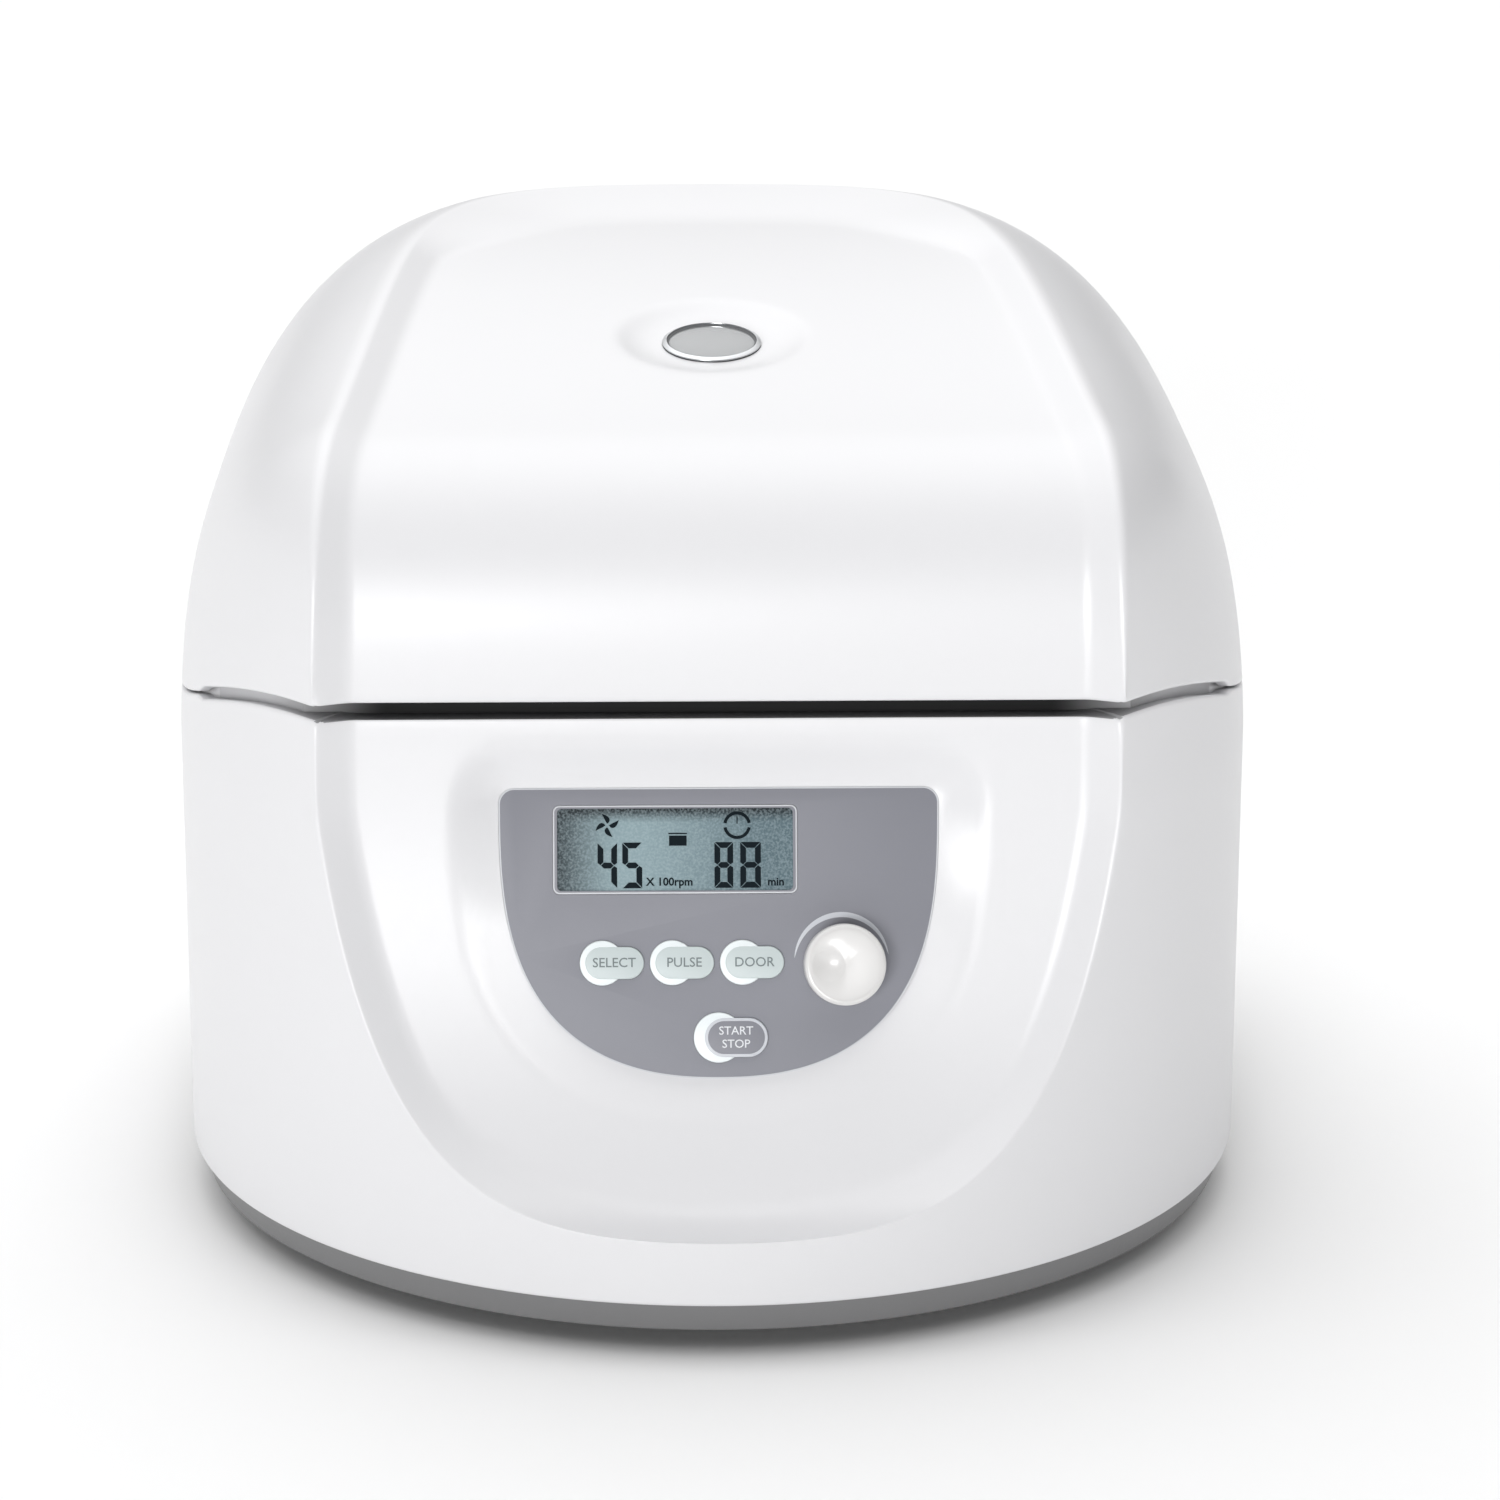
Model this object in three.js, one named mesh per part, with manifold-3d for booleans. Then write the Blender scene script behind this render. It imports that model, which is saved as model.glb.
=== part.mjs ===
// Low-speed bench centrifuge with a domed, rear-hinged lid. Millimetres, +Z up, front towards -Y.
// The model origin is the centre of the round front of the plan, at the underside of the base pan;
// the outer group then stands the feet on z = 0 and centres the plan on the origin.
import * as THREE from 'three'
import Module from 'manifold-3d'
import { mergeVertices } from 'three/addons/utils/BufferGeometryUtils.js'

const wasm = await Module()
wasm.setup()

// Casing, overall
const half_width = 151.2
const front_reach = 150
const rear_reach = 204
const base_height = 9
const base_slant = 4
const foot_height = 6
const foot_radius = 13
const wall = 3
const seam = 0.3
const overrun = 20

// Rotor: tilted tubes in a ring, their mouths on one circle
const tube_count = 8
const tube_tilt = THREE.MathUtils.degToRad(37.7)
const tube_radius = 8.4
const tube_wall = 0.9
const tube_length = 80
const bore_sides = 10
const mouth_circle = 36
const running_clearance = 0.3
const rotor_cover = 3.4
const rotor_undercut = 30
const rotor_end = 5
const rotor_end_chamfer = 4
const rotor_end_step = 6
const rotor_foot_step = 2
const rotor_mouth_start = 6
const rotor_mouth_step = 7
const rotor_mouth_rise = 2
const bore_wall = tube_radius + tube_wall + running_clearance + rotor_cover
const rotor_drop = Math.cos(tube_tilt) * (tube_length + rotor_end) + Math.sin(tube_tilt) * rotor_end_chamfer
const rotor_radius = mouth_circle + Math.sin(tube_tilt) * (tube_length + rotor_end)
  + Math.cos(tube_tilt) * (bore_wall - rotor_end_step)

// Heights, from the pan up: dampers, motor, chamber, dome
const tray_floor = 2.5
const damper_height = 21
const plate_thickness = 3
const motor_height = 33
const bowl_lift = 5.9
const rotor_floor_gap = 13.3
const mouth_show = 15
const dome_rise = 130.4
const belt_drop = 4
const plate_low = tray_floor + seam + damper_height
const motor_low = plate_low + plate_thickness + seam
const motor_top = motor_low + motor_height
const bowl_bottom = motor_top + bowl_lift
const mouth_height = bowl_bottom + rotor_floor_gap + rotor_drop
const deck_height = mouth_height - mouth_show
const deck_low = deck_height - wall
const belt_height = deck_height - belt_drop
const crown_height = deck_height + dome_rise

// Parting between housing and lid; the front face is where the visor breaks back from the panel
const face_share = 0.691
const face_y = -face_share * front_reach
const parting_front_rise = 24
const parting_rear_rise = 6
const parting_front = deck_height + parting_front_rise
const parting_rear = deck_height + parting_rear_rise
const parting_flat = 3.65
const parting_slope_start = face_y + parting_flat
const parting_slope_end = 0
const finger_gap = 3.5
const seam_gap = 0.8
const groove_length = 58.65
const groove_end = face_y + groove_length
const groove_fade = 3
const rim_width = 7
const lip_inset = 4.5
const lip_rise = 1
const lip_recess = 6.5
const ledge_width = 4
const ledge_thickness = 3
const deck_gap = 0.8

// Front shield: a raised crease, a sloping band and a sunk panel
const shield_back = 150
const crease_half_width = 107.5
const shield_depth = 4.5
const toe_band = 16
const side_band = 11
const rear_band = 39
const crown_thickening = 9

// Control pocket and its parts, on a plane that leans back
const panel_lean = THREE.MathUtils.degToRad(18)
const panel_lead = 3.65
const panel_drop = 35
const panel_y = face_y - panel_lead
const panel_z = deck_height - panel_drop
const overlay_half_width = 58.6
const overlay_top = 37.7
const overlay_bottom = 39.5
const overlay_corner = 4
const overlay_thickness = 1.2
const pocket_height = 16
const pocket_spread = 34.4
const display_width = 65.4
const display_height = 23.8
const display_x = -11.7
const display_v = 21.4
const display_corner = 1.6
const module_depth = 4
const module_margin = 3.5
const board_thickness = 1.6
const board_depth = 11.5
const board_length = 84
const board_width = 40
const board_x = 2
const board_v = -17
const board_corner = 3
const push_switch_side = 6
const push_switch_gap = 0.9
const key_pitch = 18.7
const key_first_x = -28
const key_v = -8.8
const key_length = 15.7
const key_height = 8.6
const key_disc_radius = 6
const key_disc_offset = -3.3
const start_x = 4.4
const start_v = -28.8
const start_length = 16.9
const start_height = 10.5
const start_disc_radius = 6.7
const start_disc_offset = -4.7
const key_rise = 0.8
const key_cap_thickness = 1.4
const key_stem_radius = 2.6
const key_stem_gap = 1.3
const key_clearance = 0.35
const knob_x = 33.2
const knob_v = -9.4
const knob_radius = 10.85
const knob_height = 11
const knob_lift = 0.6
const knob_edge = 1.4
const knob_roof = 3
const knob_shaft_radius = 3
const dimple_radius = 5
const dimple_offset = 4.3
const dimple_depth = 0.9
const encoder_side = 12
const encoder_floor = 2

// Chamber, drive and rotor, on one upright axis
const swing_gap = 10.48
const front_room = 29.65
const bowl_radius = rotor_radius + swing_gap
const axis_y = face_y + front_room + bowl_radius
const bowl_wall = 1.5
const bowl_sides = 28
const bowl_flange = 7
const bowl_corner = 16
const gasket_height = 4
const gasket_width = 5
const motor_radius = 39
const motor_chamfer = 4
const motor_shoulder = 10
const motor_step = 6
const nose_rise = 4
const nose_width = 6
const nose_chamfer = 2
const plate_radius = 56
const damper_radius = 9
const damper_waist_share = 0.75
const damper_circle = 46
const slot_width = 3.6
const slot_pitch = 15
const shaft_radius = 5
const shaft_flare = 2
const shaft_neck = 12
const thread_drop = 1
const bearing_radius = 13
const bearing_height = 7
const bearing_fit = 0.12
const boot_wall = 3
const boot_taper = 1
const shaft_rise = 9
const shaft_top = mouth_height + shaft_rise
const seat_depth = 31
const seat_low = mouth_height - seat_depth
const seat_high = mouth_height - shaft_rise
const hub_radius = 17
const hub_recess = 4
const sleeve_foot_share = 0.6
const sleeve_chamfer = 5
const nut_radius = 12
const nut_gap = 1.3
const nut_chamfer = 2
const nut_edge = 1.5
const nut_roof = 1
const nut_flutes = 6
const flute_radius = 2.2
const flute_lift = 4

// Lid, hinge, latch and window
const hinge_offset = 5.3
const hinge_span = 70
const knuckle_radius = 4.5
const knuckle_width = 16
const side_knuckle = 8
const pin_radius = 1.6
const leaf_thickness = 2
const leaf_height = 16
const leaf_gap = 4
const leaf_seat = 0.5
const web_height = 6
const web_drop = 2
const pin_fit = 0.1
const pin_end = 1.5
const liner_clearance = 2
const liner_height = shaft_top + nut_roof + liner_clearance
const liner_thickness = 2.5
const skirt_width = 4
const liner_gap = 2
const post_radius = 4
const post_side_inset = 39.2
const post_front_lead = 60
const post_rear_inset = 44
const post_x = half_width - post_side_inset
const post_front_y = axis_y - post_front_lead
const post_rear_y = rear_reach - post_rear_inset
const window_lead = 20
const window_y = axis_y - window_lead
const window_tilt = THREE.MathUtils.degToRad(10.5)
const window_radius = 12.4
const window_sides = 20
const window_thickness = 2
const bezel_wall = 1.3
const bezel_flange = 1.6
const bezel_edge = 1.2
const bezel_rise = 1.8
const lens_drop = 1.5
const dish_radius = 27
const dish_depth = 3
const dish_floor_share = 0.62
const dish_knee_share = 0.8
const dish_knee_rise_share = 0.3
const dish_rim_share = 1.3
const dish_rim_rise_share = 2.4
const tube_bore = 14.5
const hook_width = 14
const hook_thickness = 3
const hook_lead = 9.5
const hook_drop = 18
const hook_y = axis_y - bowl_radius - hook_lead
const hook_tip = deck_height - hook_drop
const hook_slot_play = 1.5
const notch_play = 1
const lock_width = 38
const lock_depth = 9.4
const lock_height = 21
const lock_slot_depth = 6
const lock_end = 2
const bolt_lift = 5
const bolt_height = 4
const bolt_length = 9
const bolt_travel = 7

// Rear fittings
const fitting_margin = 2
const flange_thickness = 2
const inlet_x = 50
const inlet_z = 42
const inlet_width = 30
const inlet_height = 24
const inlet_depth = 18
const inlet_wall = 4.2
const inlet_floor = 3
const inlet_pin_width = 2
const inlet_pin_height = 4
const inlet_pin_pitch = 7
const inlet_pin_rise = 4
const inlet_pin_drop = 1.5
const fuse_lift = 24
const fuse_z = inlet_z + fuse_lift
const fuse_height = 10
const switch_x = 22
const switch_width = 16
const switch_height = 24
const switch_depth = 14
const switch_wall = 3.2
const switch_floor = 2
const rocker_tilt = THREE.MathUtils.degToRad(8)
const rocker_set = 3
const rocker_play = 1.4
const rocker_side_play = 0.6
const rocker_tip = 1
const rocker_ridge = 3.2
const rocker_back = 3
const rocker_keel = 5.5
const grille_x = -38
const grille_z = 48
const grille_width = 68
const grille_height = 44
const grille_slots = 7
const grille_end = 7
const grille_border = 6
const grille_bar_share = 0.5

// Power board and its parts, placed from the board's centre
const board_rise = 5
const power_board_x = -26
const power_board_inset = 38
const power_board_y = rear_reach - power_board_inset
const power_board_length = 92
const power_board_width = 40
const standoff_side = 6
const standoff_inset = 4
const transformer = { x: -24, y: 0, width: 30, depth: 28, height: 26 }
const capacitor = { x: 8, y: -6, width: 16, depth: 16, height: 20 }
const relay = { x: 30, y: 2, width: 14, depth: 26, height: 14 }

// Feet
const foot_front_x = 82
const foot_front_inset = 78
const foot_front_y = foot_front_inset - front_reach
const foot_rear_x = 98
const foot_rear_inset = 54
const foot_rear_y = rear_reach - foot_rear_inset
const foot_chamfer = 2
const tray_edge = 0.8

// Sides of the round forms
const rotor_sides = 32
const dish_sides = 28
const nut_sides = 24
const drive_sides = 20
const shaft_sides = 16
const stem_sides = 12
const post_sides = 8
const dome_steps = 6
const switch_corner = 1

const { clamp, lerp, smoothstep } = THREE.MathUtils

// Materials
const finish = (color, roughness, metalness = 0) =>
  new THREE.MeshStandardMaterial({ color, roughness, metalness })
const white = finish(0xf2f2f3, 0.22)
const grey = finish(0x8b8b8d, 0.45)
const panel_grey = finish(0x9091a0, 0.5)
const glassy = finish(0xb9c6cc, 0.08)
const dark = finish(0x2b2c30, 0.6)
const rubber = finish(0x3a3b3d, 0.85)
const steel = finish(0xc4c6c9, 0.3, 1)
const alloy = finish(0xb3b6ba, 0.4, 1)
const board_green = finish(0x2f6b47, 0.6)
const key_tint = finish(0xc9d4d4, 0.5)

// Solid helpers
function solid(geometry) {
  const plain = geometry.clone()
  plain.deleteAttribute('normal')
  plain.deleteAttribute('uv')
  const merged = mergeVertices(plain)
  const triVerts = new Uint32Array(merged.index.array)
  const vertProperties = new Float32Array(merged.attributes.position.array)
  let volume = 0
  const p = (i) => new THREE.Vector3().fromArray(vertProperties, 3 * i)
  for (let i = 0; i < triVerts.length; i += 3) {
    volume += p(triVerts[i]).dot(p(triVerts[i + 1]).cross(p(triVerts[i + 2])))
  }
  if (volume < 0) {
    for (let i = 0; i < triVerts.length; i += 3) triVerts.subarray(i, i + 2).reverse()
  }
  return new wasm.Manifold(new wasm.Mesh({ numProp: 3, vertProperties, triVerts }))
}

function geometryOf(manifold) {
  const mesh = manifold.getMesh()
  const geometry = new THREE.BufferGeometry()
  geometry.setAttribute('position', new THREE.Float32BufferAttribute(mesh.vertProperties, 3))
  geometry.setIndex(new THREE.BufferAttribute(mesh.triVerts, 1))
  return geometry
}

const cutFrom = (body, ...tools) => tools.reduce((rest, tool) => rest.subtract(tool), body)
const joined = (...bodies) => bodies.reduce((all, body) => all.add(body))
const moved = (manifold, x, y, z) => manifold.translate([x, y, z])
const placedBy = (manifold, matrix) => manifold.transform(matrix.elements)

function block(x0, x1, y0, y1, z0, z1) {
  const box = new THREE.BoxGeometry(x1 - x0, y1 - y0, z1 - z0)
  return solid(box.translate((x0 + x1) / 2, (y0 + y1) / 2, (z0 + z1) / 2))
}

function slab(points, low, high) {
  const shape = new THREE.Shape(points)
  const geometry = new THREE.ExtrudeGeometry(shape, { depth: high - low, bevelEnabled: false })
  return solid(geometry.translate(0, 0, low))
}

function turned(profile, sides = 32) {
  const points = profile.map(([r, z]) => new THREE.Vector2(r, z))
  return solid(new THREE.LatheGeometry(points, sides).rotateX(Math.PI / 2))
}

const disc = (radius, low, high, sides = 24) =>
  turned([[0, low], [radius, low], [radius, high], [0, high]], sides)

const ring = (inner, outer, low, high, sides = 24) =>
  turned([[inner, low], [outer, low], [outer, high], [inner, high], [inner, low]], sides)

function roundedBox(width, height, radius, steps = 3) {
  const points = []
  for (let corner = 0; corner < 4; corner += 1) {
    const cx = (width / 2 - radius) * (corner === 0 || corner === 3 ? 1 : -1)
    const cy = (height / 2 - radius) * (corner < 2 ? 1 : -1)
    for (let i = 0; i <= steps; i += 1) {
      const angle = (corner + i / steps) * Math.PI / 2
      points.push(new THREE.Vector2(cx + radius * Math.cos(angle), cy + radius * Math.sin(angle)))
    }
  }
  return points
}

// A patch builder that welds equal points and drops triangles that have collapsed
class Skin {
  constructor() {
    this.points = []
    this.faces = []
    this.seen = new Map()
  }

  vertex([x, y, z]) {
    const key = [x, y, z].map((value) => Math.round(value * 1e4)).join()
    if (!this.seen.has(key)) {
      this.seen.set(key, this.points.length / 3)
      this.points.push(x, y, z)
    }
    return this.seen.get(key)
  }

  face(a, b, c) {
    const [i, j, k] = [a, b, c].map((point) => this.vertex(point))
    if (i !== j && j !== k && k !== i) this.faces.push(i, j, k)
  }

  grid(rows, flip = false) {
    for (let i = 0; i + 1 < rows.length; i += 1) {
      for (let j = 0; j + 1 < rows[i].length; j += 1) {
        const [a, b, c, d] = [rows[i][j], rows[i][j + 1], rows[i + 1][j + 1], rows[i + 1][j]]
        if (flip) {
          this.face(a, c, b)
          this.face(a, d, c)
        } else {
          this.face(a, b, c)
          this.face(a, c, d)
        }
      }
    }
  }

  fan(loop, flip = false) {
    const centre = [0, 1, 2].map((k) => loop.reduce((sum, point) => sum + point[k], 0) / loop.length)
    loop.forEach((point, i) => {
      const next = loop[(i + 1) % loop.length]
      if (flip) this.face(centre, next, point)
      else this.face(centre, point, next)
    })
  }

  solid() {
    const geometry = new THREE.BufferGeometry()
    geometry.setAttribute('position', new THREE.Float32BufferAttribute(this.points, 3))
    geometry.setIndex(this.faces)
    return solid(geometry)
  }
}

// The dome: level sections that lean back and shrink towards the crown
const side_fall_shares = [2.447, 2.614]
const dome_lean = 83.2
const lean_power_share = 1.151
const front_draw = 291
const front_draw_share = 6.725
const rear_draw = 111.9
const rear_draw_share = 9.85

function section(z) {
  const w = clamp((z - belt_height) / (crown_height - belt_height), 0, 0.9995)
  const [power, root] = side_fall_shares
  const centre = dome_lean * w ** lean_power_share
  return {
    centre,
    half: half_width * (1 - w ** power) ** (1 / root),
    front: Math.max(centre + front_reach - front_draw * w ** front_draw_share, wall),
    rear: rear_reach - rear_draw * w ** rear_draw_share - centre,
    frontPower: 2 + 1.37 * w * w,
    rearPower: 4.39 - 1.63 * w * w
  }
}

function skinPoint(angle, z, inset = 0) {
  const s = section(z)
  const ahead = Math.cos(angle) > 0
  const power = ahead ? s.frontPower : s.rearPower
  const along = Math.max((ahead ? s.front : s.rear) - inset, seam)
  const across = Math.abs(Math.sin(angle)) / Math.max(s.half - inset, seam)
  const reach = (across ** power + (Math.abs(Math.cos(angle)) / along) ** power) ** (-1 / power)
  return [reach * Math.sin(angle), s.centre - reach * Math.cos(angle), z]
}

function skinHalf(y, z) {
  const s = section(z)
  const ahead = y < s.centre
  const power = ahead ? s.frontPower : s.rearPower
  const share = Math.abs(y - s.centre) / (ahead ? s.front : s.rear)
  return s.half * Math.max(0, 1 - share ** power) ** (1 / power)
}

const rearSkin = (x) => {
  const s = section(parting_rear)
  return s.centre + s.rear * (1 - (Math.abs(x) / s.half) ** s.rearPower) ** (1 / s.rearPower)
}

// Side profile of the shield, from its toe up the front, over the visor and back to the rim.
// Corners are shares of the front reach (y) and of the crown height (z).
const toe_shares = [[-1, 0.0995], [-0.853, 0.112], [-0.717, 0.34], [-face_share, 0.5976]]
const visor_shares = [[-face_share, 0.5976], [-0.68, 0.7186], [-0.66, 0.8396], [-0.4, 0.8642]]
const roof_shares = [[-0.4, 0.8642], [0, 0.902], [0.38, 0.9616], [1, 0.9644]]
const profileCurve = ([a, b, c, d]) => {
  const at = ([y, z]) => new THREE.Vector2(y * front_reach, z * crown_height)
  return new THREE.CubicBezierCurve(at(a), at(b), at(c), at(d))
}
const toeCurve = profileCurve(toe_shares)
const visorCurve = profileCurve(visor_shares)
const roofCurve = profileCurve(roof_shares)

// Half-width of the crease: on the front it is where the profile meets the round skin, and on
// the lid it tapers towards the back and turns round two corners.
const crease_taper_share = 0.25
function creaseHalf(y, z, onLid) {
  if (!onLid) return skinHalf(y, z)
  const along = clamp((y - face_y) / (shield_back - face_y), 0, 1)
  return crease_half_width * (1 - crease_taper_share * along) * Math.max(0, 1 - along ** 10) ** (1 / 3)
}

function profileRows(toeSteps, visorSteps, roofSteps) {
  const rows = []
  const take = (curve, steps, onLid, spacing) => {
    for (let i = onLid === null ? 1 : 0; i <= steps; i += 1) {
      const t = spacing(i / steps)
      const point = curve.getPoint(t)
      const tangent = curve.getTangent(t)
      const half = creaseHalf(point.x, point.y, onLid !== false)
      rows.push({ y: point.x, z: point.y, ny: -tangent.y, nz: tangent.x, half })
    }
  }
  take(toeCurve, toeSteps, false, (u) => u ** 1.7)
  take(visorCurve, visorSteps, null, (u) => u)
  take(roofCurve, roofSteps, null, (u) => 1 - (1 - u) ** 1.7)
  rows[0].half = 0
  rows[rows.length - 1].half = 0
  let travelled = 0
  rows.forEach((row, i) => {
    if (i > 0) travelled += Math.hypot(row.y - rows[i - 1].y, row.z - rows[i - 1].z)
    row.s = travelled
  })
  return rows
}

function bandWidth(row) {
  if (row.z < parting_front) {
    return lerp(toe_band, side_band, smoothstep(row.z, 0.1 * crown_height, 0.25 * crown_height))
  }
  return lerp(side_band, rear_band, smoothstep(row.y, 0.46 * front_reach, 0.77 * front_reach))
}

function creaseDistance(x, s, rows) {
  let best = Infinity
  for (let i = 0; i + 1 < rows.length; i += 1) {
    const [ax, as, bx, bs] = [rows[i].half, rows[i].s, rows[i + 1].half, rows[i + 1].s]
    const span = (bx - ax) ** 2 + (bs - as) ** 2
    const t = span > 0 ? clamp(((x - ax) * (bx - ax) + (s - as) * (bs - as)) / span, 0, 1) : 0
    best = Math.min(best, Math.hypot(x - ax - t * (bx - ax), s - as - t * (bs - as)))
  }
  return best
}

// A straight fall that rounds off softly where it meets the sunk panel
const band_round_share = 0.35
function bandFall(share) {
  const soft = band_round_share
  const reach = 1 + soft
  const u = Math.min(share * reach, reach)
  return u < 1 - soft ? u : u - (u - 1 + soft) ** 2 / (4 * soft)
}

const column_shares = [0, 0.4, 0.8, 0.87, 0.91, 0.955, 1]
function shieldPoint(row, share, rows) {
  const x = row.half * share
  const sink = share === 1 ? 0 : bandFall(creaseDistance(x, row.s, rows) / bandWidth(row)) * shield_depth
  return [x, row.y - row.ny * sink, row.z - row.nz * sink]
}

// The closed outer form of housing and lid together, with grid lines along the crease
function outerForm() {
  const rows = profileRows(9, 6, 10)
  const skin = new Skin()
  const mirror = (point) => [-point[0], point[1], point[2]]
  const right = rows.map((row) => column_shares.map((share) => shieldPoint(row, share, rows)))
  skin.grid(right)
  skin.grid(right.map((row) => row.map(mirror)), true)

  const corner = rows.findIndex((row) => row.z > parting_front - 1)
  const cornerAngle = Math.atan2(rows[corner].half, section(rows[corner].z).centre - rows[corner].y)
  const low = base_height + seam
  const height_shares = [0, 0.35, 0.7, 0.9, 1]
  const rise_shares = [0, 0.25, 0.45, 0.62, 0.76, 0.87, 0.95, 1]
  const columns = rows.map((row, i) => {
    const centre = section(row.z).centre
    const angle = Math.atan2(row.half, centre - row.y)
    const crease = [row.half, row.y, row.z]
    if (i <= corner) {
      const foot = skinPoint(angle, low)
      return height_shares.map((v) => {
        const z = lerp(low, row.z, v)
        return v === 1 ? crease : skinPoint(angle, z).map((value, k) => (k < 2 && v === 0 ? foot[k] : value))
      })
    }
    const along = ((i - corner) / (rows.length - 1 - corner)) ** 1.15
    const footAngle = lerp(cornerAngle, Math.PI, along)
    const dome = skinPoint(angle, row.z)
    const shift = [crease[0] - dome[0], crease[1] - dome[1]]
    const lower = [0, 0.5].map((v) => skinPoint(footAngle, lerp(low, belt_height, v)))
    const upper = rise_shares.map((v) => {
      const at = skinPoint(lerp(footAngle, angle, v ** 1.5), lerp(belt_height, row.z, v))
      return v === 1 ? crease : [at[0] + shift[0] * v ** 4, at[1] + shift[1] * v ** 4, at[2]]
    })
    return [...lower, ...upper]
  })
  const spread = (column, count) => {
    const result = []
    for (let i = 0; i < count; i += 1) {
      const place = i * (column.length - 1) / (count - 1)
      const k = Math.min(Math.floor(place), column.length - 2)
      result.push(column[k].map((value, axis) => lerp(value, column[k + 1][axis], place - k)))
    }
    return result
  }
  const full = columns[columns.length - 1].length
  const even = columns.map((column) => (column.length === full ? column : spread(column, full)))
  skin.grid(even.map((column) => column.slice()), true)
  skin.grid(even.map((column) => column.map(mirror)))
  const foot = even.map((column) => column[0])
  skin.fan([...foot, ...foot.slice(1, -1).reverse().map(mirror)], true)
  return skin.solid()
}

// Plain inner blocks: the dome section drawn in by an inset, behind the sunk profile. The wall
// grows towards the crown, where the band leaves the dome.
function domeBlock(inset, low, high, steps, sides = 32) {
  const skin = new Skin()
  const rings = []
  for (let i = 0; i <= steps; i += 1) {
    const z = lerp(low, high, 1 - (1 - i / steps) ** 1.5)
    const risen = clamp((z - belt_height) / (crown_height - belt_height), 0, 1)
    const drawn = inset + crown_thickening * risen ** 2
    rings.push(Array.from({ length: sides }, (_, k) => skinPoint(k * 2 * Math.PI / sides, z, drawn)))
  }
  skin.grid(rings.map((loop) => [...loop, loop[0]]))
  skin.fan(rings[0], true)
  skin.fan(rings[steps])
  return skin.solid()
}

function shieldPrism(inset) {
  const outline = profileRows(5, 6, 5).map((row) => [row.y - row.ny * inset, row.z - row.nz * inset])
  const last = outline[outline.length - 1]
  outline[0][1] = -overrun
  outline.push([rear_reach + overrun, last[1]], [rear_reach + overrun, -overrun])
  const points = outline.map(([y, z]) => new THREE.Vector2(y, z))
  const span = half_width + overrun
  const onSide = new THREE.Matrix4().makeBasis(
    new THREE.Vector3(0, 1, 0), new THREE.Vector3(0, 0, 1), new THREE.Vector3(1, 0, 0))
  return placedBy(slab(points, -span, span), onSide)
}

const innerForm = (inset, shieldInset, low, high, steps = 1) =>
  domeBlock(inset, low, high, steps).intersect(shieldPrism(shieldInset))

// The region under the parting line, moved up or down by a rise
function partingHeight(y) {
  return lerp(parting_front, parting_rear, smoothstep(y, parting_slope_start, parting_slope_end))
}

function underParting(side, rise = 0) {
  const points = []
  const steps = 8
  for (let i = 0; i <= steps; i += 1) {
    const y = lerp(parting_slope_start, parting_slope_end, i / steps)
    const gap = lerp(finger_gap, seam_gap, smoothstep(y, groove_end - groove_fade, groove_end + groove_fade))
    points.push([y, partingHeight(y) + side * gap / 2 + rise])
  }
  const [first, last] = [points[0], points[steps]]
  const reach = rear_reach + overrun
  const outline = [[-reach, first[1]], ...points, [reach, last[1]], [reach, -overrun], [-reach, -overrun]]
  const onSide = new THREE.Matrix4().makeBasis(
    new THREE.Vector3(0, 1, 0), new THREE.Vector3(0, 0, 1), new THREE.Vector3(1, 0, 0))
  const span = half_width + overrun
  return placedBy(slab(outline.map(([y, z]) => new THREE.Vector2(y, z)), -span, span), onSide)
}

// The leaning plane of the control panel: x across, y up the plane, z out of it
const panelGroup = new THREE.Group()
panelGroup.position.set(0, panel_y, panel_z)
panelGroup.rotation.x = Math.PI / 2 - panel_lean
panelGroup.updateMatrix()
const onPanel = (manifold) => placedBy(manifold, panelGroup.matrix)

const overlay_power_shares = [3.1, 2.38]
function overlayOutline(grow = 0, steps = 9) {
  const [power, root] = overlay_power_shares
  const tall = overlay_top + overlay_bottom
  const right = []
  for (let i = 0; i <= steps; i += 1) {
    const drop = 1 - (1 - overlay_corner / tall) * (i / steps) ** 2
    const x = overlay_half_width * Math.max(0, 1 - drop ** power) ** (1 / root)
    right.push([x, overlay_top - drop * tall])
  }
  for (let i = 1; i <= 3; i += 1) {
    const angle = i * Math.PI / 6
    const x = overlay_half_width - overlay_corner * (1 - Math.cos(angle))
    right.push([x, overlay_top - overlay_corner * (1 - Math.sin(angle))])
  }
  const left = right.slice(1).reverse().map(([x, y]) => [-x, y])
  const loop = [...right, ...left]
  return loop.map(([x, y], i) => {
    const before = loop[(i + loop.length - 1) % loop.length]
    const after = loop[(i + 1) % loop.length]
    const normal = new THREE.Vector2(after[1] - before[1], before[0] - after[0]).normalize()
    return new THREE.Vector2(x + normal.x * grow, y + normal.y * grow)
  })
}

// The pocket's sloped wall, with a straight recess for the overlay at its foot
function pocketTool(floor) {
  const skin = new Skin()
  const level = (grow, z) => overlayOutline(grow).map((point) => [point.x, point.y, z])
  const low = level(seam, 0)
  const high = level(seam + pocket_spread, pocket_height)
  skin.grid([[...low, low[0]], [...high, high[0]]])
  skin.fan(low, true)
  skin.fan(high)
  return skin.solid().add(slab(overlayOutline(seam), floor, seam))
}

// A key's outline: a capsule in front of a round disc
function keyOutline({ length, height, discRadius, discOffset }, grow = 0) {
  const capsule = slab(roundedBox(length + 2 * grow, height + 2 * grow, height / 2 + grow), 0, 1)
  const round = moved(disc(discRadius + grow, 0, 1, shaft_sides), discOffset, 0, 0)
  return capsule.add(round)
}

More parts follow.
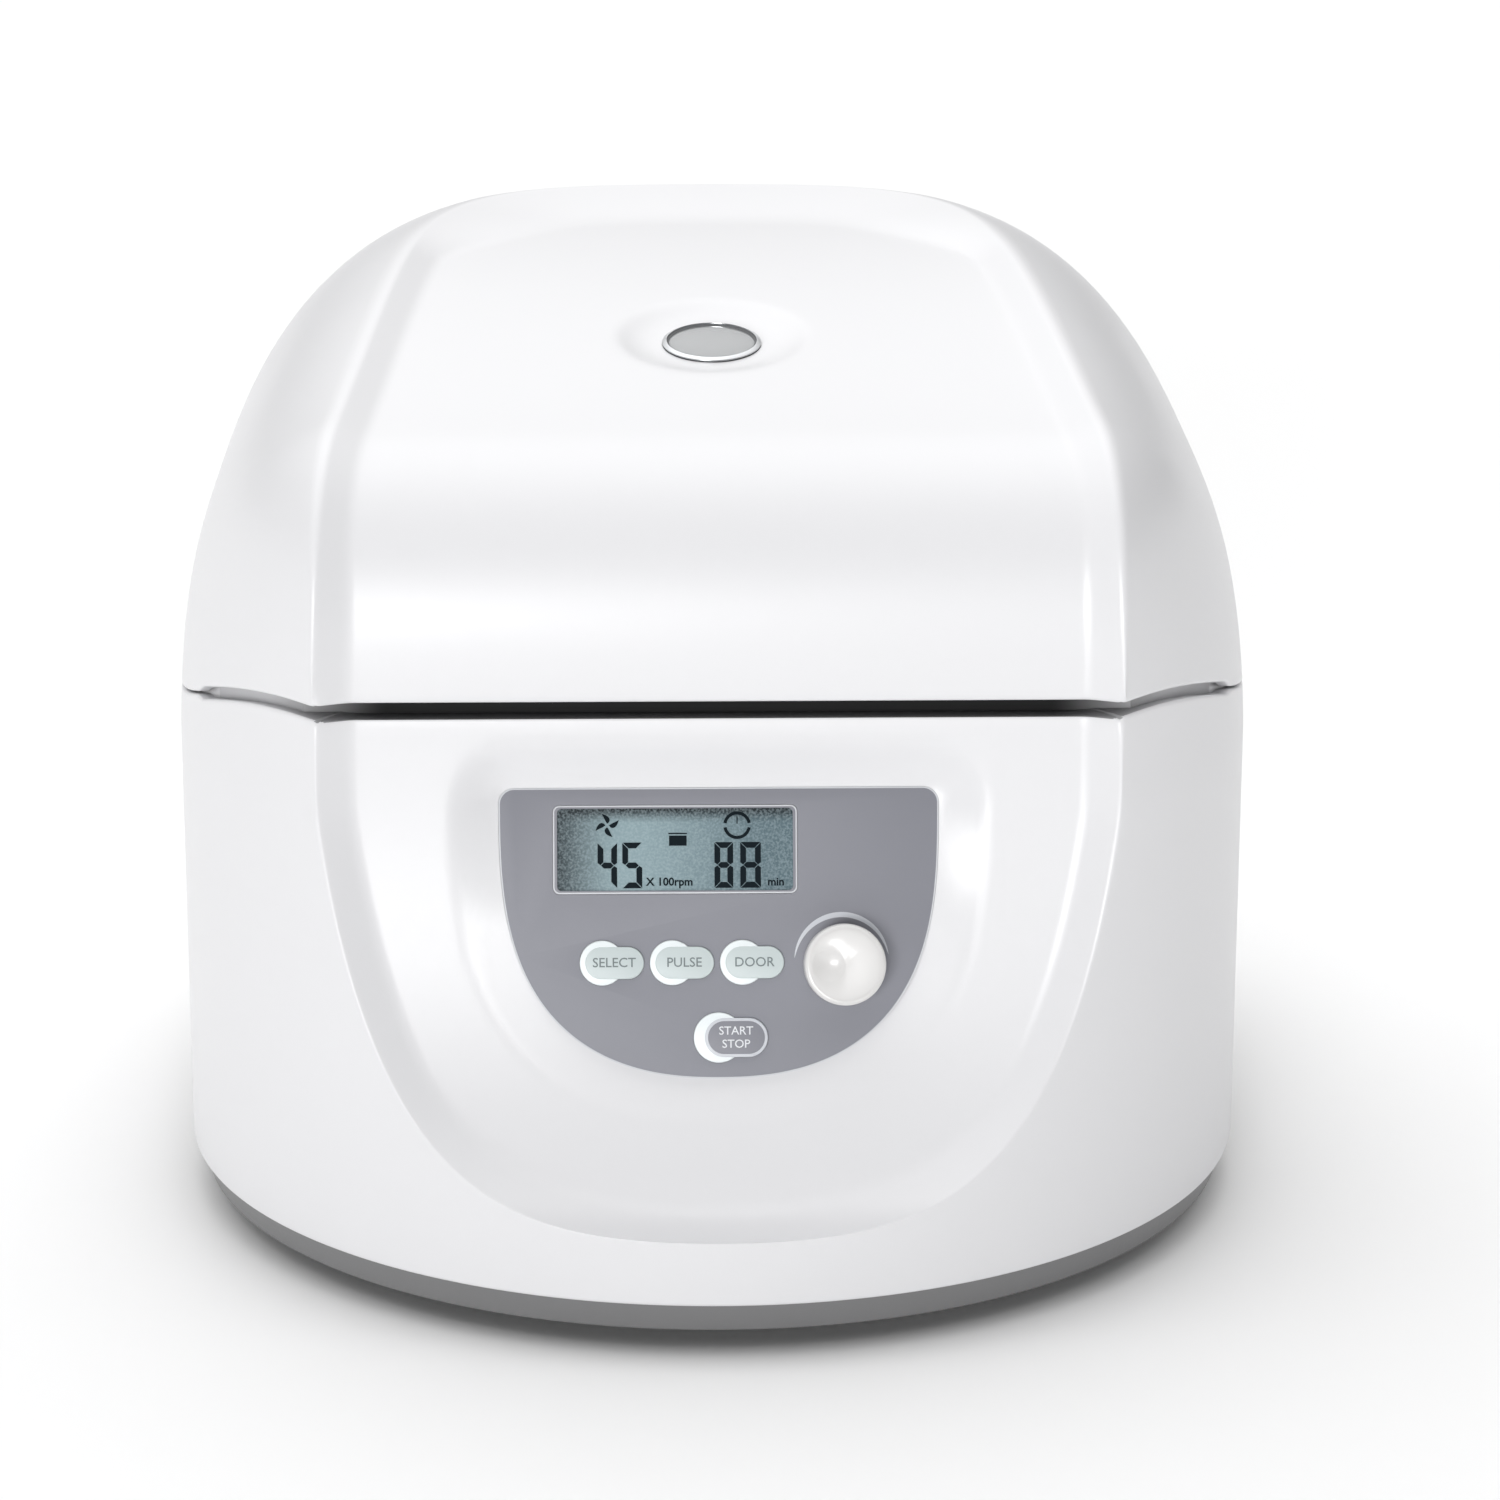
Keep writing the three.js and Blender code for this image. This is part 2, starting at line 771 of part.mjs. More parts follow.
const small_key = {
  length: key_length, height: key_height, discRadius: key_disc_radius, discOffset: key_disc_offset
}
const start_key = {
  length: start_length, height: start_height, discRadius: start_disc_radius, discOffset: start_disc_offset
}
const keys = [
  { name: 'select_key', x: key_first_x, v: key_v, ...small_key },
  { name: 'pulse_key', x: key_first_x + key_pitch, v: key_v, ...small_key },
  { name: 'door_key', x: key_first_x + 2 * key_pitch, v: key_v, ...small_key },
  { name: 'start_stop_key', x: start_x, v: start_v, ...start_key }
]
const keySolid = (key, low, high, grow = 0) =>
  moved(keyOutline(key, grow).scale([1, 1, high - low]), key.x, key.v, low)

// Levels on the panel, measured out from the overlay's face
const pocket_floor = -overlay_thickness - seam
const wall_back = pocket_floor - wall
const key_bottom = key_rise - key_cap_thickness
const board_front = -board_depth
const stem_end = board_front + key_stem_gap

function displayOpening(grow, low, high) {
  const radius = Math.max(display_corner + grow, display_corner / 2)
  const outline = roundedBox(display_width + 2 * grow, display_height + 2 * grow, radius)
  return moved(slab(outline, low, high), display_x, display_v, 0)
}

// Housing
function windowInRear(x, z, width, height) {
  const [w, h] = [width / 2 - fitting_margin + seam, height / 2 - fitting_margin + seam]
  return block(x - w, x + w, rear_reach - overrun, rear_reach + overrun, z - h, z + h)
}

const lip_setback = shield_depth + lip_recess
const rim_setback = lip_setback + rim_width - lip_inset
const ledge_top = deck_low - seam
const bowlHole = () =>
  moved(disc(bowl_radius + bowl_wall + seam, base_height, deck_height + overrun, bowl_sides), 0, axis_y, 0)

function housingShell(form) {
  const below = form.intersect(underParting(-1))
  const lip = innerForm(lip_inset, lip_setback, ledge_top, parting_front + overrun)
    .intersect(underParting(-1, lip_rise + finger_gap))
  const cavity = innerForm(wall, shield_depth + wall, -overrun, ledge_top - ledge_thickness)
  const ledgeHole = innerForm(rim_width + ledge_width, shield_depth + wall, deck_low - overrun, ledge_top)
  const roof = block(-half_width, half_width, -front_reach, rear_reach, ledge_top, crown_height)
  const boardSpace = cutFrom(onPanel(slab(overlayOutline(), -board_depth - 2 * board_thickness, wall_back)), roof)
  const backing = onPanel(slab(overlayOutline(pocket_height), wall_back, pocket_height))
  const well = innerForm(rim_width, rim_setback, ledge_top, parting_front + overrun)
  const shell = cutFrom(below.add(lip), joined(cavity, ledgeHole, boardSpace).subtract(backing), well,
    onPanel(pocketTool(pocket_floor)))
  const knobHole = knob_shaft_radius + running_clearance + wall / 2
  const panelHoles = [
    displayOpening(-module_margin + seam, wall_back - wall, 0),
    moved(disc(knobHole, wall_back - wall, 0), knob_x, knob_v, 0),
    ...keys.map((key) =>
      moved(disc(key_stem_radius + key_clearance, wall_back - wall, 0, stem_sides), key.x, key.v, 0))
  ].map(onPanel)
  const rear = [
    windowInRear(inlet_x, inlet_z, inlet_width, inlet_height),
    windowInRear(inlet_x, fuse_z, inlet_width, fuse_height),
    windowInRear(switch_x, inlet_z, switch_width, switch_height),
    windowInRear(grille_x, grille_z, grille_width, grille_height)
  ]
  return cutFrom(shell, ...panelHoles, ...rear)
}

// The deck lies on the housing's ledge, around the chamber
function deckPlate() {
  const plate = innerForm(rim_width + deck_gap, rim_setback + deck_gap, deck_low, deck_height)
  const slot_half = hook_width / 2 + hook_slot_play
  const hookSlot = block(-slot_half, slot_half, hook_y - wall, hook_y + wall, deck_low - wall, deck_height + wall)
  return cutFrom(plate, bowlHole(), hookSlot)
}

// Base pan with a slanted rim, air slots under the motor and a foot at each corner
const foot_places = [[foot_front_x, foot_front_y], [foot_rear_x, foot_rear_y]]
  .flatMap(([x, y]) => [[-x, y], [x, y]])
const plan_sides = 36
function planLoop(inset, z, sides = plan_sides) {
  return Array.from({ length: sides }, (_, k) => {
    const [x, y] = skinPoint(k * 2 * Math.PI / sides, belt_height, inset)
    return [x, y, z]
  })
}

function baseTray() {
  const skin = new Skin()
  const outer = [planLoop(base_slant, 0), planLoop(tray_edge, base_height)]
  skin.grid(outer.map((loop) => [...loop, loop[0]]))
  skin.fan(outer[0], true)
  skin.fan(outer[1])
  const inner = new Skin()
  const hollow = [planLoop(base_slant + wall, tray_floor), planLoop(base_slant + wall, base_height + overrun)]
  inner.grid(hollow.map((loop) => [...loop, loop[0]]))
  inner.fan(hollow[0], true)
  inner.fan(hollow[1])
  const slots = [-2, -1, 0, 1, 2].map((k) => {
    const x = k * slot_pitch
    const [y0, y1] = [axis_y - motor_radius / 2, axis_y + motor_radius / 2]
    return block(x - slot_width / 2, x + slot_width / 2, y0, y1, -overrun, overrun)
  })
  return cutFrom(skin.solid(), inner.solid(), ...slots)
}

// Chamber, motor and rotor pieces, all about the z axis
const flange_top = deck_height + seam + bowl_wall
const bowl_knee_share = 0.3
const bowl_hole = shaft_radius + bearing_radius - 2
function chamberBowl() {
  const [r, w, b, c] = [bowl_radius, bowl_wall, bowl_bottom, bowl_corner]
  const knee = bowl_knee_share * c
  return turned([
    [bowl_hole, b - w], [r - c + w, b - w], [r - knee + w, b + knee - w], [r + w, b + c - w], [r + w, b + c],
    [r, b + c], [r - knee, b + knee], [r - c, b], [bowl_hole, b], [bowl_hole, b - w]
  ], bowl_sides)
}

// The chamber's wall stands on the bowl's rim and hangs from the deck by its flange
function chamberWall() {
  const [r, w, low] = [bowl_radius, bowl_wall, bowl_bottom + bowl_corner + seam]
  return turned([
    [r, low], [r + w, low], [r + w, deck_height + seam], [r + bowl_flange, deck_height + seam],
    [r + bowl_flange, flange_top], [r, flange_top], [r, low]
  ], bowl_sides)
}

const gasket_radius = bowl_radius + bowl_flange / 2
const gasketRing = () => turned([
  [gasket_radius - gasket_width / 2, flange_top + seam], [gasket_radius + gasket_width / 2, flange_top + seam],
  [gasket_radius + gasket_width / 3, flange_top + seam + gasket_height],
  [gasket_radius - gasket_width / 3, flange_top + seam + gasket_height],
  [gasket_radius - gasket_width / 2, flange_top + seam]
], bowl_sides)

const bore_radius = shaft_radius + running_clearance
const pocket_radius = bearing_radius + running_clearance
const nose_radius = bearing_radius + nose_width
const nose_low = motor_top - nose_rise
function motorCan() {
  const step = bearing_height + seam
  const bore = bore_radius + shaft_flare / 2
  return turned([
    [pocket_radius, motor_low], [motor_radius - motor_chamfer, motor_low], [motor_radius, motor_low + motor_chamfer],
    [motor_radius, motor_top - motor_shoulder], [motor_radius - motor_step, nose_low], [nose_radius, nose_low],
    [nose_radius - nose_chamfer, motor_top], [pocket_radius, motor_top], [pocket_radius, motor_top - step],
    [bore, motor_top - step], [bore, motor_low + step], [pocket_radius, motor_low + step],
    [pocket_radius, motor_low]
  ], drive_sides)
}

const motorPlate = () => cutFrom(
  disc(plate_radius, plate_low, plate_low + plate_thickness),
  disc(pocket_radius, plate_low - seam, plate_low + plate_thickness + seam, drive_sides)
)

const damperSolid = () => turned([
  [0, tray_floor + seam], [damper_radius, tray_floor + seam],
  [damper_radius * damper_waist_share, tray_floor + damper_height / 2],
  [damper_radius, plate_low - seam], [0, plate_low - seam]
], shaft_sides)

const nut_low = seat_high + nut_gap
const thread_radius = shaft_radius - thread_drop
function driveShaft() {
  const flare = shaft_radius + shaft_flare
  return turned([
    [0, motor_low + seam], [shaft_radius, motor_low + seam], [shaft_radius, motor_top + shaft_neck],
    [flare, motor_top + shaft_neck + shaft_flare], [flare, seat_low], [shaft_radius, seat_high],
    [thread_radius, seat_high + thread_drop], [thread_radius, shaft_top - thread_drop], [0, shaft_top - thread_drop]
  ], shaft_sides)
}

const bearing = (low) =>
  ring(shaft_radius + bearing_fit, bearing_radius, low, low + bearing_height, drive_sides)

// The boot seals the bowl's floor to the motor's nose
const boot_top = bowl_bottom - bowl_wall - seam
const bootRing = () => turned([
  [nose_radius + seam, nose_low + seam], [nose_radius + boot_wall, nose_low + seam],
  [nose_radius + boot_wall - boot_taper, boot_top], [nose_radius - boot_taper, boot_top],
  [nose_radius + seam, nose_low + seam]
], drive_sides)

// Angle rotor: a thick cone with eight leaning bores
const lean = [Math.sin(tube_tilt), -Math.cos(tube_tilt)]
const across = [Math.cos(tube_tilt), Math.sin(tube_tilt)]
const alongTube = (length, side) => [
  mouth_circle + lean[0] * length + across[0] * side,
  mouth_height + lean[1] * length + across[1] * side
]
function tubeMatrix(index) {
  const turn = new THREE.Matrix4().makeRotationZ(index * 2 * Math.PI / tube_count)
  const tilt = new THREE.Matrix4().makeRotationY(-tube_tilt)
  const shift = new THREE.Matrix4().makeTranslation(mouth_circle, 0, mouth_height)
  return turn.multiply(shift).multiply(tilt)
}

function rotorBody() {
  const end = tube_length + rotor_end
  const foot = tube_length - rotor_end_chamfer
  const seat_radius = shaft_radius + shaft_flare + running_clearance
  const core = turned([
    [seat_radius, seat_low], [hub_radius, seat_low],
    alongTube(rotor_undercut, -bore_wall), alongTube(foot, rotor_foot_step - bore_wall),
    alongTube(end, -rotor_end_chamfer), alongTube(end, bore_wall - rotor_end_step), alongTube(foot, bore_wall),
    alongTube(rotor_mouth_start, bore_wall), alongTube(-rotor_mouth_rise, bore_wall - rotor_mouth_step),
    [hub_radius + hub_recess, seat_high + hub_recess], [hub_radius, seat_high],
    [shaft_radius + running_clearance, seat_high], [seat_radius, seat_low]
  ], rotor_sides)
  const bore = disc(tube_radius + tube_wall + running_clearance, -tube_length, overrun, bore_sides)
  return cutFrom(core, ...Array.from({ length: tube_count }, (_, k) => placedBy(bore, tubeMatrix(k))))
}

function tubeSleeve() {
  const outer = tube_radius + tube_wall
  const [low, floor] = [seam - tube_length, 1.2 * seam + tube_wall - tube_length]
  return turned([
    [0, low], [outer * sleeve_foot_share, low], [outer, sleeve_chamfer - tube_length], [outer, 0],
    [tube_radius, 0], [tube_radius, sleeve_chamfer + tube_wall - tube_length],
    [tube_radius * sleeve_foot_share, floor], [0, floor]
  ], bore_sides)
}

function rotorNut() {
  const thread = thread_radius + running_clearance
  const top = shaft_top + nut_roof
  const body = turned([
    [thread, nut_low], [nut_radius - nut_chamfer / 2, nut_low], [nut_radius, nut_low + nut_chamfer],
    [nut_radius, top - 2 * nut_chamfer], [nut_radius - nut_edge, top], [0, top], [0, shaft_top - seam],
    [thread, shaft_top - seam], [thread, nut_low]
  ], nut_sides)
  const flute = disc(flute_radius, seat_high + flute_lift, top + overrun, nut_flutes)
  const flutes = Array.from({ length: nut_flutes }, (_, k) => {
    const angle = k * 2 * Math.PI / nut_flutes
    const reach = nut_radius + flute_radius / 2
    return moved(flute, reach * Math.cos(angle), reach * Math.sin(angle), 0)
  })
  return cutFrom(body, ...flutes)
}

// Lid
const windowGroup = new THREE.Group()
const roofHeight = (y) => {
  let t = 0.5
  for (let i = 0; i < 30; i += 1) t += (y - roofCurve.getPoint(t).x) / (4 * front_reach)
  return roofCurve.getPoint(t).y
}
windowGroup.position.set(0, window_y, roofHeight(window_y) - shield_depth - dish_depth)
windowGroup.rotation.x = window_tilt
windowGroup.updateMatrix()

function dishTool() {
  const [r, top] = [dish_radius, dish_rim_rise_share * dish_depth]
  return turned([[0, 0], [dish_floor_share * r, 0], [dish_knee_share * r, dish_knee_rise_share * dish_depth],
    [r, dish_depth], [dish_rim_share * r, top], [0, top]], dish_sides)
}

// The liner hangs from four moulded posts
const post_places = [[-post_x, post_front_y], [post_x, post_front_y], [-post_x, post_rear_y], [post_x, post_rear_y]]
function lidShell(form) {
  const above = form.subtract(underParting(1))
  const boss = placedBy(disc(dish_radius + wall, -wall, overrun, dish_sides), windowGroup.matrix)
  const posts = post_places.map(([x, y]) =>
    moved(disc(post_radius, liner_height + liner_thickness + seam, crown_height, post_sides), x, y, 0))
  const dome = innerForm(wall, shield_depth + wall, belt_height - overrun, crown_height - 1.5 * wall, dome_steps)
  const hollow = cutFrom(dome, boss, ...posts)
  const bore = disc(window_radius + bezel_wall + seam, -overrun, overrun, window_sides)
  return cutFrom(above, hollow, placedBy(dishTool(), windowGroup.matrix), placedBy(bore, windowGroup.matrix))
}

const skirt_low = flange_top + 2 * seam + gasket_height
function lidLiner() {
  const inset = wall + liner_gap
  const plate = innerForm(inset, shield_depth + inset, liner_height, liner_height + liner_thickness)
  const skirt = moved(ring(gasket_radius - skirt_width / 2, gasket_radius + skirt_width / 2,
    skirt_low, liner_height + seam, bowl_sides), 0, axis_y, 0)
  const sight = moved(disc(tube_bore, liner_height - overrun, liner_height + overrun), 0, window_y, 0)
  return cutFrom(plate.add(skirt), sight)
}

const sightTube = () => moved(ring(tube_bore, tube_bore + wall / 2, liner_height + liner_thickness + seam,
  windowGroup.position.z - 3 * wall), 0, window_y, 0)

function windowBezel() {
  const [inner, outer] = [window_radius + seam, window_radius + bezel_wall]
  return turned([
    [inner, -wall], [outer, -wall], [outer, seam], [outer + bezel_flange, seam], [outer + bezel_flange, bezel_edge],
    [outer, bezel_rise], [inner, bezel_rise], [inner, -wall]
  ], window_sides)
}

// Latch: a hook under the liner with a notch in its side, and a bolt that slides into the notch
const bolt_z = hook_tip + bolt_lift
const bolt_start = hook_width / 2 + 2 * seam
function lidHook() {
  const [y0, y1] = [hook_y - hook_thickness / 2, hook_y + hook_thickness / 2]
  const [pad_low, pad_high] = [liner_height - seam - hook_thickness, liner_height - seam]
  const plate = block(-hook_width / 2, hook_width / 2, y0, y1, hook_tip, pad_high)
  const pad = block(-hook_width, hook_width, y0 - hook_thickness, y1, pad_low, pad_high)
  const notch = block(0, hook_width, y0 - hook_thickness, y1 + hook_thickness,
    bolt_z - notch_play, bolt_z + bolt_height + notch_play)
  return joined(plate, pad).subtract(notch)
}

const lock_top = deck_low - seam
function lockBody() {
  const [y0, y1] = [hook_y - lock_depth / 2, hook_y + lock_depth / 2]
  const body = block(-lock_width / 2, lock_width / 2, y0, y1, lock_top - lock_height, lock_top)
  const slot_half = hook_width / 2 + hook_slot_play
  const slot = block(-slot_half, slot_half, hook_y - lock_slot_depth / 2, hook_y + lock_slot_depth / 2,
    hook_tip - lock_end, deck_height)
  const play = hook_thickness / 2 + seam
  const track = block(bolt_start - bolt_travel - 2 * seam, lock_width / 2 - lock_end, hook_y - play, hook_y + play,
    bolt_z - seam, bolt_z + bolt_height + seam)
  return cutFrom(body, slot, track)
}

const latchBolt = () => block(bolt_start, bolt_start + bolt_length,
  hook_y - hook_thickness / 2, hook_y + hook_thickness / 2, bolt_z, bolt_z + bolt_height)

// Hinges: a fixed knuckle between two lid knuckles on one pin, on each side
const hinge_y = rear_reach + hinge_offset
const hinge_z = parting_rear
const acrossX = new THREE.Matrix4().makeRotationY(Math.PI / 2)
const barrel = (radius, x0, x1, sides = shaft_sides) =>
  moved(placedBy(disc(radius, x0, x1, sides), acrossX), 0, hinge_y, hinge_z)

const skin_at_hinge = rearSkin(hinge_span - knuckle_width / 2 - side_knuckle) + seam
const leaf_back = skin_at_hinge + leaf_thickness
function hingeBracket(x) {
  const [x0, x1] = [x - knuckle_width / 2, x + knuckle_width / 2]
  const leaf_top = hinge_z - leaf_gap
  const leaf = block(x0, x1, skin_at_hinge, leaf_back, leaf_top - leaf_height, leaf_top)
  const web = block(x0, x1, skin_at_hinge, hinge_y, hinge_z - web_height, hinge_z - web_drop)
  return cutFrom(joined(barrel(knuckle_radius, x0, x1), web, leaf),
    barrel(pin_radius + pin_fit, x0 - overrun, x1 + overrun, bore_sides))
}

function hingeArm(x) {
  const [x0, x1] = [x - knuckle_width / 2 - seam, x + knuckle_width / 2 + seam]
  const leaf_low = hinge_z + knuckle_radius + notch_play
  const leaf = block(x0 - side_knuckle, x1 + side_knuckle, skin_at_hinge, leaf_back,
    leaf_low, hinge_z + leaf_gap + leaf_height)
  const sides = [[x0 - side_knuckle, x0], [x1, x1 + side_knuckle]].map(([a, b]) => joined(
    barrel(knuckle_radius, a, b),
    block(a, b, skin_at_hinge + leaf_seat, hinge_y, hinge_z + pin_radius, leaf_low + web_drop)
  ))
  return cutFrom(joined(leaf, ...sides),
    barrel(pin_radius + running_clearance, x0 - overrun, x1 + overrun, bore_sides))
}

const hingePin = (x) => barrel(pin_radius, x - knuckle_width / 2 - side_knuckle - pin_end,
  x + knuckle_width / 2 + side_knuckle + pin_end, bore_sides)

// Rear fittings, each seated on the rear wall from outside
const rearFace = (x, width) => rearSkin(Math.max(0, Math.abs(x) - width / 2)) + seam
function rearPlate(x, z, width, height, depth) {
  const face = rearFace(x, width)
  const [w, h] = [width / 2 - fitting_margin, height / 2 - fitting_margin]
  const flange = block(x - width / 2, x + width / 2, face, face + flange_thickness, z - height / 2, z + height / 2)
  return flange.add(block(x - w, x + w, face - depth, face + flange_thickness / 2, z - h, z + h))
}

function powerInlet() {
  const face = rearFace(inlet_x, inlet_width)
  const [w, h] = [inlet_width / 2 - inlet_wall, inlet_height / 2 - inlet_wall]
  const floor = face - inlet_depth + inlet_floor
  const mouth = block(inlet_x - w, inlet_x + w, floor, face + overrun, inlet_z - h, inlet_z + h)
  const pins = [-1, 0, 1].map((side) => {
    const x = inlet_x + side * inlet_pin_pitch
    const z = inlet_z - inlet_pin_drop + (side === 0 ? inlet_pin_rise : 0)
    return block(x - inlet_pin_width / 2, x + inlet_pin_width / 2, floor - inlet_floor / 2, face - inlet_floor,
      z - inlet_pin_height / 2, z + inlet_pin_height / 2)
  })
  return joined(cutFrom(rearPlate(inlet_x, inlet_z, inlet_width, inlet_height, inlet_depth), mouth), ...pins)
}

const fuseDrawer = () => rearPlate(inlet_x, fuse_z, inlet_width, fuse_height, inlet_depth)

function switchFrame() {
  const frame = rearPlate(switch_x, inlet_z, switch_width, switch_height, switch_depth)
  const face = rearFace(switch_x, switch_width)
  const [w, h] = [switch_width / 2 - switch_wall, switch_height / 2 - switch_wall]
  return frame.subtract(block(switch_x - w, switch_x + w, face - switch_depth + switch_floor, face + overrun,
    inlet_z - h, inlet_z + h))
}

const rocker_y = () => rearFace(switch_x, switch_width) - rocker_set
function powerRocker() {
  const half = switch_height / 2 - switch_wall - rocker_play
  const width = switch_width / 2 - switch_wall - rocker_side_play
  const points = [[rocker_tip, -half], [rocker_ridge, 0], [rocker_tip, half], [-rocker_back, half],
    [-rocker_keel, 0], [-rocker_back, -half]].map(([y, z]) => new THREE.Vector2(y, z))
  const onSide = new THREE.Matrix4().makeBasis(
    new THREE.Vector3(0, 1, 0), new THREE.Vector3(0, 0, 1), new THREE.Vector3(1, 0, 0))
  return placedBy(slab(points, -width, width), onSide)
}

function ventGrille() {
  const plate = rearPlate(grille_x, grille_z, grille_width, grille_height, wall)
  const pitch = (grille_height - 2 * grille_border) / grille_slots
  const [half, bar] = [grille_width / 2 - grille_end, pitch * grille_bar_share / 2]
  const slots = Array.from({ length: grille_slots }, (_, k) => {
    const z = grille_z + (k - (grille_slots - 1) / 2) * pitch
    return block(grille_x - half, grille_x + half, rear_reach - overrun, rear_reach + overrun, z - bar, z + bar)
  })
  return cutFrom(plate, ...slots)
}

// Boards
function powerBoard() {
  const low = tray_floor + board_rise
  const [half_x, half_y] = [power_board_length / 2, power_board_width / 2]
  const slabAt = (x, y, width, depth, z0, z1) => block(
    power_board_x + x - width / 2, power_board_x + x + width / 2,
    power_board_y + y - depth / 2, power_board_y + y + depth / 2, z0, z1)
  const board = slabAt(0, 0, power_board_length, power_board_width, low, low + board_thickness)
  const parts = [transformer, capacitor, relay].map((part) =>
    slabAt(part.x, part.y, part.width, part.depth, low, low + part.height))
  const standoffs = [[-1, -1], [1, -1], [-1, 1], [1, 1]].map(([i, j]) =>
    slabAt(i * (half_x - standoff_inset), j * (half_y - standoff_inset), standoff_side, standoff_side,
      tray_floor + seam, low + seam))
  return joined(board, ...parts, ...standoffs)
}

function controlBoard() {
  const outline = roundedBox(board_length, board_width, board_corner)
  const board = moved(slab(outline, board_front - board_thickness, board_front), board_x, board_v, 0)
  const switch_outline = roundedBox(push_switch_side, push_switch_side, switch_corner, 1)
  const switches = keys.map((key) =>
    moved(slab(switch_outline, board_front - seam, stem_end - push_switch_gap), key.x, key.v, 0))
  return joined(board, ...switches)
}

function displayModule() {
  const back = pocket_floor - module_depth
  const glass = roundedBox(display_width - 2 * module_margin, display_height - 2 * module_margin, switch_corner)
  const carrier = roundedBox(display_width, display_height, display_corner)
  return moved(joined(slab(glass, back, pocket_floor - bearing_fit), slab(carrier, back - board_thickness,
    wall_back - seam)), display_x, display_v, 0)
}

// Assembly
const group = new THREE.Group()
const machine = new THREE.Group()
const rear_end = hinge_y + knuckle_radius
machine.position.set(0, (front_reach - rear_end) / 2, foot_height)
group.add(machine)
const drive = new THREE.Group()
drive.position.set(0, axis_y, 0)
const lid = new THREE.Group()
machine.add(panelGroup, drive, lid)
lid.add(windowGroup)

function add(parent, name, manifold, material) {
  const mesh = new THREE.Mesh(geometryOf(manifold), material)
  mesh.name = name
  parent.add(mesh)
  return mesh
}

const form = outerForm()
add(machine, 'base_tray', baseTray(), grey)
foot_places.forEach(([x, y], i) => {
  const foot = add(machine, `foot_${i + 1}`, turned([
    [0, -foot_height], [foot_radius - foot_chamfer, -foot_height], [foot_radius, -seam], [0, -seam]
  ], drive_sides), rubber)
  foot.position.set(x, y, 0)
})
add(machine, 'housing_shell', housingShell(form), white)
add(machine, 'deck_plate', deckPlate(), white)

const key_openings = keys.map((key) => keySolid(key, -overrun, overrun, key_clearance))
const knob_opening = moved(disc(knob_shaft_radius + wall / 2, -overrun, overrun, shaft_sides), knob_x, knob_v, 0)
add(panelGroup, 'control_overlay', cutFrom(slab(overlayOutline(), -overlay_thickness, 0),
  displayOpening(0, -overrun, overrun), ...key_openings, knob_opening), panel_grey)
add(panelGroup, 'display_lens', displayOpening(-seam, -overlay_thickness, seam), glassy)
add(panelGroup, 'display_module', displayModule(), dark)
add(panelGroup, 'control_board', controlBoard(), board_green)
add(panelGroup, 'encoder_body', moved(cutFrom(
  slab(roundedBox(encoder_side, encoder_side, switch_corner), board_front + seam, wall_back - seam),
  disc(knob_shaft_radius + running_clearance, board_front + encoder_floor, 0, shaft_sides)
), knob_x, knob_v, 0), steel)
for (const key of keys) {
  const stem = moved(disc(key_stem_radius, stem_end, key_bottom + seam, stem_sides), key.x, key.v, 0)
  add(panelGroup, key.name, keySolid(key, key_bottom, key_rise).add(stem), key_tint)
}
const knobGroup = new THREE.Group()
knobGroup.position.set(knob_x, knob_v, 0)
panelGroup.add(knobGroup)
const dimple = new THREE.SphereGeometry(dimple_radius, stem_sides, bore_sides)
  .translate(-dimple_offset, -dimple_offset / 5, knob_height + dimple_radius - dimple_depth)
const knob_bore = knob_shaft_radius + running_clearance
const knob_ceiling = knob_height - knob_roof
add(knobGroup, 'speed_time_knob', cutFrom(turned([
  [knob_bore, knob_lift], [knob_radius, knob_lift], [knob_radius, knob_height - knob_edge],
  [knob_radius - knob_edge, knob_height], [0, knob_height], [0, knob_ceiling], [knob_bore, knob_ceiling],
  [knob_bore, knob_lift]
], nut_sides), solid(dimple)), white)
add(knobGroup, 'knob_shaft',
  disc(knob_shaft_radius, board_front + encoder_floor + seam, knob_ceiling - seam, shaft_sides), steel)

add(drive, 'chamber_bowl', chamberBowl(), steel)
add(drive, 'chamber_wall', chamberWall(), steel)
add(drive, 'chamber_gasket', gasketRing(), rubber)
add(drive, 'motor_can', motorCan(), alloy)
add(drive, 'motor_plate', motorPlate(), steel)
for (let i = 0; i < 3; i += 1) {
  const damper = add(drive, `damper_${i + 1}`, damperSolid(), rubber)
  const angle = Math.PI / 2 + i * 2 * Math.PI / 3
  damper.position.set(damper_circle * Math.cos(angle), damper_circle * Math.sin(angle), 0)
}
add(drive, 'upper_bearing', bearing(motor_top - bearing_height), steel)
add(drive, 'lower_bearing', bearing(motor_low + seam), steel)
add(drive, 'shaft_boot', bootRing(), rubber)
add(drive, 'drive_shaft', driveShaft(), steel)
add(drive, 'rotor_body', rotorBody(), alloy)
const sleeve = tubeSleeve()
for (let i = 0; i < tube_count; i += 1) {
  add(drive, `tube_sleeve_${i + 1}`, placedBy(sleeve, tubeMatrix(i)), key_tint)
}
add(drive, 'rotor_nut', rotorNut(), steel)

